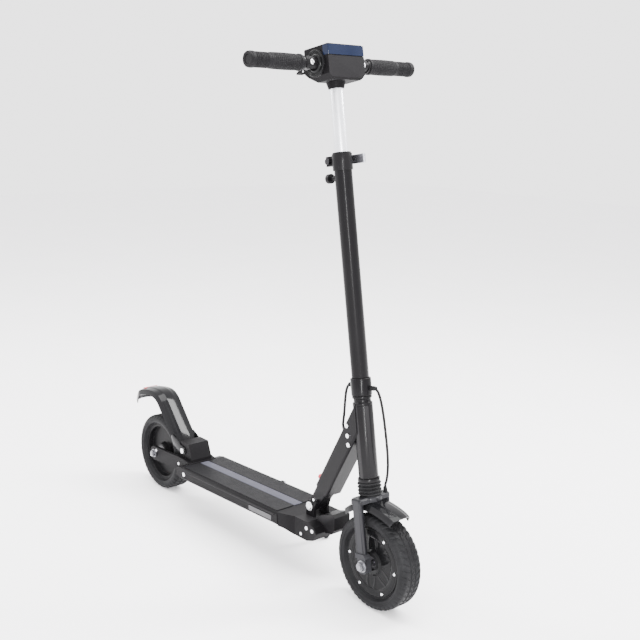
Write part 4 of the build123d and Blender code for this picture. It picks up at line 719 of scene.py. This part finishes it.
heads = [bolt_head_mesh("head", seat, left * side, size.x / 2 * 1.02, size.y * 1.08)
         for seat, side, size, reach in side_bolts("deck_fasteners") if size.y < 0.0045 and reach > 0.03]
merge("deck_side_bolt_heads", heads, bright_steel, "deck")

# ---------------------------------------------------------------- fork boot
boot_low, boot_high = node_span("fork_boot")


def boot_profile():
    """Rubber gaiter: collars at both ends and four soft ribs between them."""
    length = boot_high - boot_low
    outer, inner = [], []
    for i in range(81):
        t = i / 80
        rib = 0.5 - 0.5 * math.cos(math.tau * min(1.0, max(0.0, (t - 0.03) / 0.94)) * 4)
        radius = 0.0208 + 0.0042 * rib ** 0.8
        outer.append((t * length, radius))
        inner.append((t * length, radius - 0.0022))
    return outer + list(reversed(inner))


boot_mesh = lathe_mesh("fork_gaiter", steer_at(boot_low), steer_up, steer_forward, boot_profile(), 96)
boot = make_object("fork_gaiter", boot_mesh, soft_rubber, "stem", "fork_boot")
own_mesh(boot)

# ---------------------------------------------------------------- cables
cable_radius = 0.0028
strut_angle = math.radians(61.4)
strut_along = Vector((math.cos(strut_angle), 0.0, math.sin(strut_angle)))
strut_front = Vector((math.sin(strut_angle), 0.0, -math.cos(strut_angle)))
strut_entry = fold_pivot + strut_along * 0.204 - strut_front * 0.0122


def cable_piece(name, route, node):
    """Cable on a smooth spline through its route, riding on no body."""
    curve = bpy.data.curves.new(name + "_line", "CURVE")
    curve.dimensions = "3D"
    curve.resolution_u = 10
    curve.bevel_depth = cable_radius
    curve.bevel_resolution = 6
    curve.use_fill_caps = True
    spline = curve.splines.new("NURBS")
    spline.points.add(len(route) - 1)
    for point, place_at in zip(spline.points, route):
        point.co = (*place_at, 1.0)
    spline.order_u = 3
    spline.use_endpoint_u = True
    holder = bpy.data.objects.new(name + "_line", curve)
    bpy.context.scene.collection.objects.link(holder)
    mesh = bpy.data.meshes.new_from_object(holder.evaluated_get(bpy.context.evaluated_depsgraph_get()))
    bpy.data.objects.remove(holder)
    mesh.materials.clear()
    for polygon in mesh.polygons:
        polygon.use_smooth = True
    cable = make_object(name, mesh, soft_rubber, None)
    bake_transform(cable)
    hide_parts(node)


front_gland, rear_gland, crown_top = 0.359, 0.365, 0.137
cable_piece(
    "motor_cable_sheath",
    [
        steer_at(front_gland, 0.0265, 0.008), steer_at(front_gland, 0.036, 0.008),
        steer_at(front_gland - 0.014, 0.043, 0.0092), steer_at(front_gland - 0.042, 0.0465, 0.011),
        steer_at(front_gland - 0.082, 0.047, 0.013), steer_at(front_gland - 0.120, 0.045, 0.016),
        steer_at(front_gland - 0.152, 0.040, 0.020), steer_at(front_gland - 0.178, 0.031, 0.025),
        steer_at(crown_top + 0.024, 0.020, 0.030), steer_at(crown_top + 0.014, 0.012, 0.032),
        steer_at(crown_top, 0.012, 0.032),
    ],
    "motor_cable",
)
cable_piece(
    "control_cable_sheath",
    [
        steer_at(rear_gland, -0.0265), steer_at(rear_gland, -0.038),
        steer_at(rear_gland - 0.012, -0.048, 0.001), steer_at(rear_gland - 0.036, -0.056, 0.002),
        steer_at(rear_gland - 0.066, -0.063, 0.0024),
        strut_entry - strut_front * 0.016, strut_entry,
    ],
    "control_cable",
)


def spiral_wrap(name, start, end, body, radius=0.0042, turns=5, wire=0.0011):
    """Short ringed strain relief round a cable end."""
    axis = (end - start).normalized()
    across = axis.orthogonal().normalized()
    rings = []
    for i in range(turns):
        centre = start.lerp(end, (i + 0.5) / turns)
        size = radius * (1.0 - 0.28 * i / turns)
        section = [(wire * math.cos(math.tau * k / 8), size + wire * math.sin(math.tau * k / 8))
                   for k in range(8)]
        rings.append(lathe_mesh("ring", centre, axis, across, section, 28))
    merge(name, rings, soft_rubber, body)


spiral_wrap("front_strain_relief", steer_at(front_gland, 0.0265, 0.008),
            steer_at(front_gland, 0.0355, 0.008), "stem")
spiral_wrap("rear_strain_relief", steer_at(rear_gland, -0.0265), steer_at(rear_gland, -0.0365), "stem")
spiral_wrap("crown_strain_relief", steer_at(crown_top, 0.012, 0.032),
            steer_at(crown_top + 0.011, 0.012, 0.032), "fork")

# ---------------------------------------------------------------- grips
lattice_start = 0.0090             # patterned stretch, from the grip's inner end
lattice_margin = 0.0230            # what both ends take from the grip's length
bar_boss_start = 0.0498
bar_boss_profile = [
    (0.0, 0.0145), (0.0, 0.0262), (0.0012, 0.0262), (0.0020, 0.0252), (0.0020, 0.0222),
    (0.0008, 0.0212), (0.0008, 0.0185), (0.0022, 0.0175), (0.0032, 0.0150),
]


def grip_profile(length):
    """Closed section of a rubber grip: flange, slightly swollen sleeve and end cap."""
    core = 0.0112
    points = [(0.0, core), (0.0, 0.0150), (0.0012, 0.0162), (0.0060, 0.0164), (0.0072, 0.0150),
              (0.0086, 0.0150)]
    count = 150
    for i in range(count + 1):
        t = i / count
        swell = 0.0006 * math.sin(math.pi * min(1.0, t / 0.66)) if t < 0.66 else -0.0007
        points.append((lattice_start + t * (length - lattice_margin), 0.01515 + swell))
    cap = [(0.0128, 0.0144), (0.0115, 0.0156), (0.0060, 0.0157), (0.0052, 0.0150), (0.0020, 0.0151),
           (0.0, 0.0138), (0.0, 0.0092), (0.0015, 0.0086), (0.0015, 0.0002), (0.004, 0.0002)]
    return points + [(length - back, radius) for back, radius in cap]


def grip_lift(length):
    """Relief of a grip of this length: a diamond lattice, then rings near its outer end."""
    def lift(along, radius, angle):
        if along < lattice_start or along > length - 0.0140 or radius < 0.0135:
            return 0.0
        t = (along - lattice_start) / (length - lattice_margin)
        if t < 0.62:
            lattice = math.sin(angle * 18 + along * 700.0) * math.sin(angle * 18 - along * 700.0)
            return 0.00035 * max(-1.0, min(1.0, lattice * 3.0))
        return 0.00045 * (1.0 if math.sin(along * 1900.0) > 0.0 else -1.0) if t > 0.70 else 0.0

    return lift


for side, side_name in ((1, "left"), (-1, "right")):
    grip_low, grip_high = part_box(f"grip_{side_name}")
    inner = min(abs(grip_low.y), abs(grip_high.y))
    length = max(abs(grip_low.y), abs(grip_high.y)) - inner
    bar_centre = Vector(((grip_low.x + grip_high.x) / 2, 0.0, (grip_low.z + grip_high.z) / 2))
    outward = left * side
    name = f"grip_sleeve_{side_name}"
    grip_mesh = lathe_mesh(name, bar_centre + outward * inner, outward, steer_forward,
                           grip_profile(length), 144, grip_lift(length))
    grip = make_object(name, grip_mesh, grip_rubber, f"{side_name}_bar", f"grip_{side_name}")
    smooth_by_angle(grip, 35.0)
    pin_at = Vector(joints[f"{side_name}_bar_fold"]["pos_m"])
    ends = [bolt_head_mesh("head", pin_at + steer_forward * facing * 0.0132, steer_forward * facing,
                           0.0052, 0.0022) for facing in (1, -1)]
    merge(f"bar_pin_heads_{side_name}", ends, bright_steel, "mast")
    boss = lathe_mesh("boss", bar_centre + outward * bar_boss_start, outward, steer_forward,
                      bar_boss_profile, 96)
    merge(f"bar_boss_{side_name}", [boss], hub_gloss, "mast")

# ---------------------------------------------------------------- deck details
deck_low, deck_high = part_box("deck_shell")
deck_along = Vector(joints["charge_cap_swing"]["axis"]).normalized()
deck_up = Vector((-deck_along.z, 0.0, deck_along.x))
deck_half = 0.0675
rib_width = 0.004
rib_inset = 0.012


def deck_rib(name, y, drop):
    """Long rounded rib on the deck's side, a little inside its ends and drop below its top."""
    start = Vector((deck_low.x + rib_inset, y, 0.0))
    length = (deck_high.x - deck_low.x) - 2 * rib_inset
    start.z = deck_high.z - drop - (deck_high.x - start.x) * deck_along.z / deck_along.x
    bm = bmesh.new()
    steps = 10
    rings = []
    for end in (0.0, length):
        ring = []
        for i in range(steps + 1):
            angle = math.pi * i / steps - math.pi / 2
            spot = start + deck_along * end + deck_up * (rib_width / 2 * math.sin(angle))
            ring.append(bm.verts.new(spot + left * math.copysign(0.0012 * math.cos(angle), y)))
        rings.append(ring)
    for i in range(steps):
        bm.faces.new((rings[0][i], rings[0][i + 1], rings[1][i + 1], rings[1][i]))
    for ring in rings:
        bm.faces.new(ring)
    merge(name, [from_bmesh(name, bm)], deck_black, "deck")


for side, side_name in ((1, "left"), (-1, "right")):
    deck_rib(f"deck_rib_upper_{side_name}", side * deck_half, 0.0075)
    deck_rib(f"deck_rib_lower_{side_name}", side * deck_half, 0.0245)

# ---------------------------------------------------------------- bevels on the CAD nodes that show
for width, bevelled_nodes in {
    0.0022: ["console_base"],
    0.0016: ["front_casting"],
    0.0015: ["rear_frame"],
    0.0012: ["console_cover", "clamp_lever", "fork"],
    0.0010: ["throttle_lever", "brake_lever"],
    0.0009: ["lamp_lens", "clamp_collar"],
    0.0008: ["neck_frame", "handlebar_core", "rear_rim", "kickstand_bracket"],
    0.0006: ["stem_sleeve", "deck_shell", "tail_light", "cable_glands", "charge_cap"],
    0.0005: ["display_window", "grip_mat", "grip_strip", "front_axle", "rear_axle", "steerer_tube",
             "fold_pin", "handlebar_left", "handlebar_right", "kickstand_foot"],
    0.0004: ["stem_tube", "release_button", "clamp_bolt"],
    0.0003: ["side_reflectors", "mast_tube", "power_button"],
}.items():
    for node in bevelled_nodes:
        bevelled(node, width)

# ---------------------------------------------------------------- studio
paper, paper_tree, paper_shader = new_material("pale_paper")
grain = noise(paper_tree, place(paper_tree), 3.0, 4.0)
paper_tint = ramp(paper_tree, grain, [(0.3, (0.95, 0.945, 0.955)), (0.7, (0.97, 0.965, 0.975))])
paper_tree.links.new(paper_tint, paper_shader.inputs["Base Color"])
paper_shader.inputs["Roughness"].default_value = 0.9
floor = bmesh.new()
floor_half = 9.0
corners = ((-floor_half, -floor_half), (floor_half, -floor_half), (floor_half, floor_half),
           (-floor_half, floor_half))
floor.faces.new([floor.verts.new((x, y, 0.0)) for x, y in corners])
piece = make_object("floor", from_bmesh("floor", floor, False), paper, None)

world = bpy.data.worlds.new("studio")
bpy.context.scene.world = world
world.use_nodes = True
background = world.node_tree.nodes["Background"]
background.inputs["Color"].default_value = (1.0, 0.99, 1.0, 1.0)
background.inputs["Strength"].default_value = 3.0


def softbox(name, position, target, width, height, power):
    """Rectangular area light aimed at a target, itself unseen by the camera."""
    light = bpy.data.lights.new(name, "AREA")
    light.shape = "RECTANGLE"
    light.size = width
    light.size_y = height
    light.energy = power
    lamp = bpy.data.objects.new(name, light)
    lamp.location = position
    lamp.visible_camera = False
    lamp.rotation_euler = (Vector(target) - Vector(position)).to_track_quat("-Z", "Y").to_euler()
    bpy.context.scene.collection.objects.link(lamp)


softbox("key", (2.70, -1.85, 0.95), (0.33, 0.0, 0.95), 0.14, 1.8, 170.0)
softbox("rim", (-2.0, -1.2, 2.4), (0.0, 0.0, 0.4), 0.3, 2.2, 60.0)
softbox("side", (0.9, 1.5, 2.5), (-0.35, 0.0, 0.25), 0.5, 1.6, 130.0)
softbox("top", (0.0, 0.0, 4.2), (0.0, 0.0, 0.0), 2.6, 2.6, 260.0)

camera_data = bpy.data.cameras.new("camera")
camera_data.sensor_width = 36.0
camera_data.lens = 53.72
camera_data.clip_end = 50.0
camera = bpy.data.objects.new("camera", camera_data)
bpy.context.scene.collection.objects.link(camera)
camera_position = (1.7124, -1.2900, 0.9981)
yaw, pitch, roll = -0.860, 0.213, 0.024
ahead = Vector((math.sin(yaw) * math.cos(pitch), math.cos(yaw) * math.cos(pitch), -math.sin(pitch)))
level = Vector((math.cos(yaw), -math.sin(yaw), 0.0))
above = level.cross(ahead)
right = level * math.cos(roll) + above * math.sin(roll)
top = above * math.cos(roll) - level * math.sin(roll)
turned = Matrix((right, top, -ahead)).transposed().to_4x4()
turned.translation = camera_position
camera.matrix_world = turned
bpy.context.scene.camera = camera
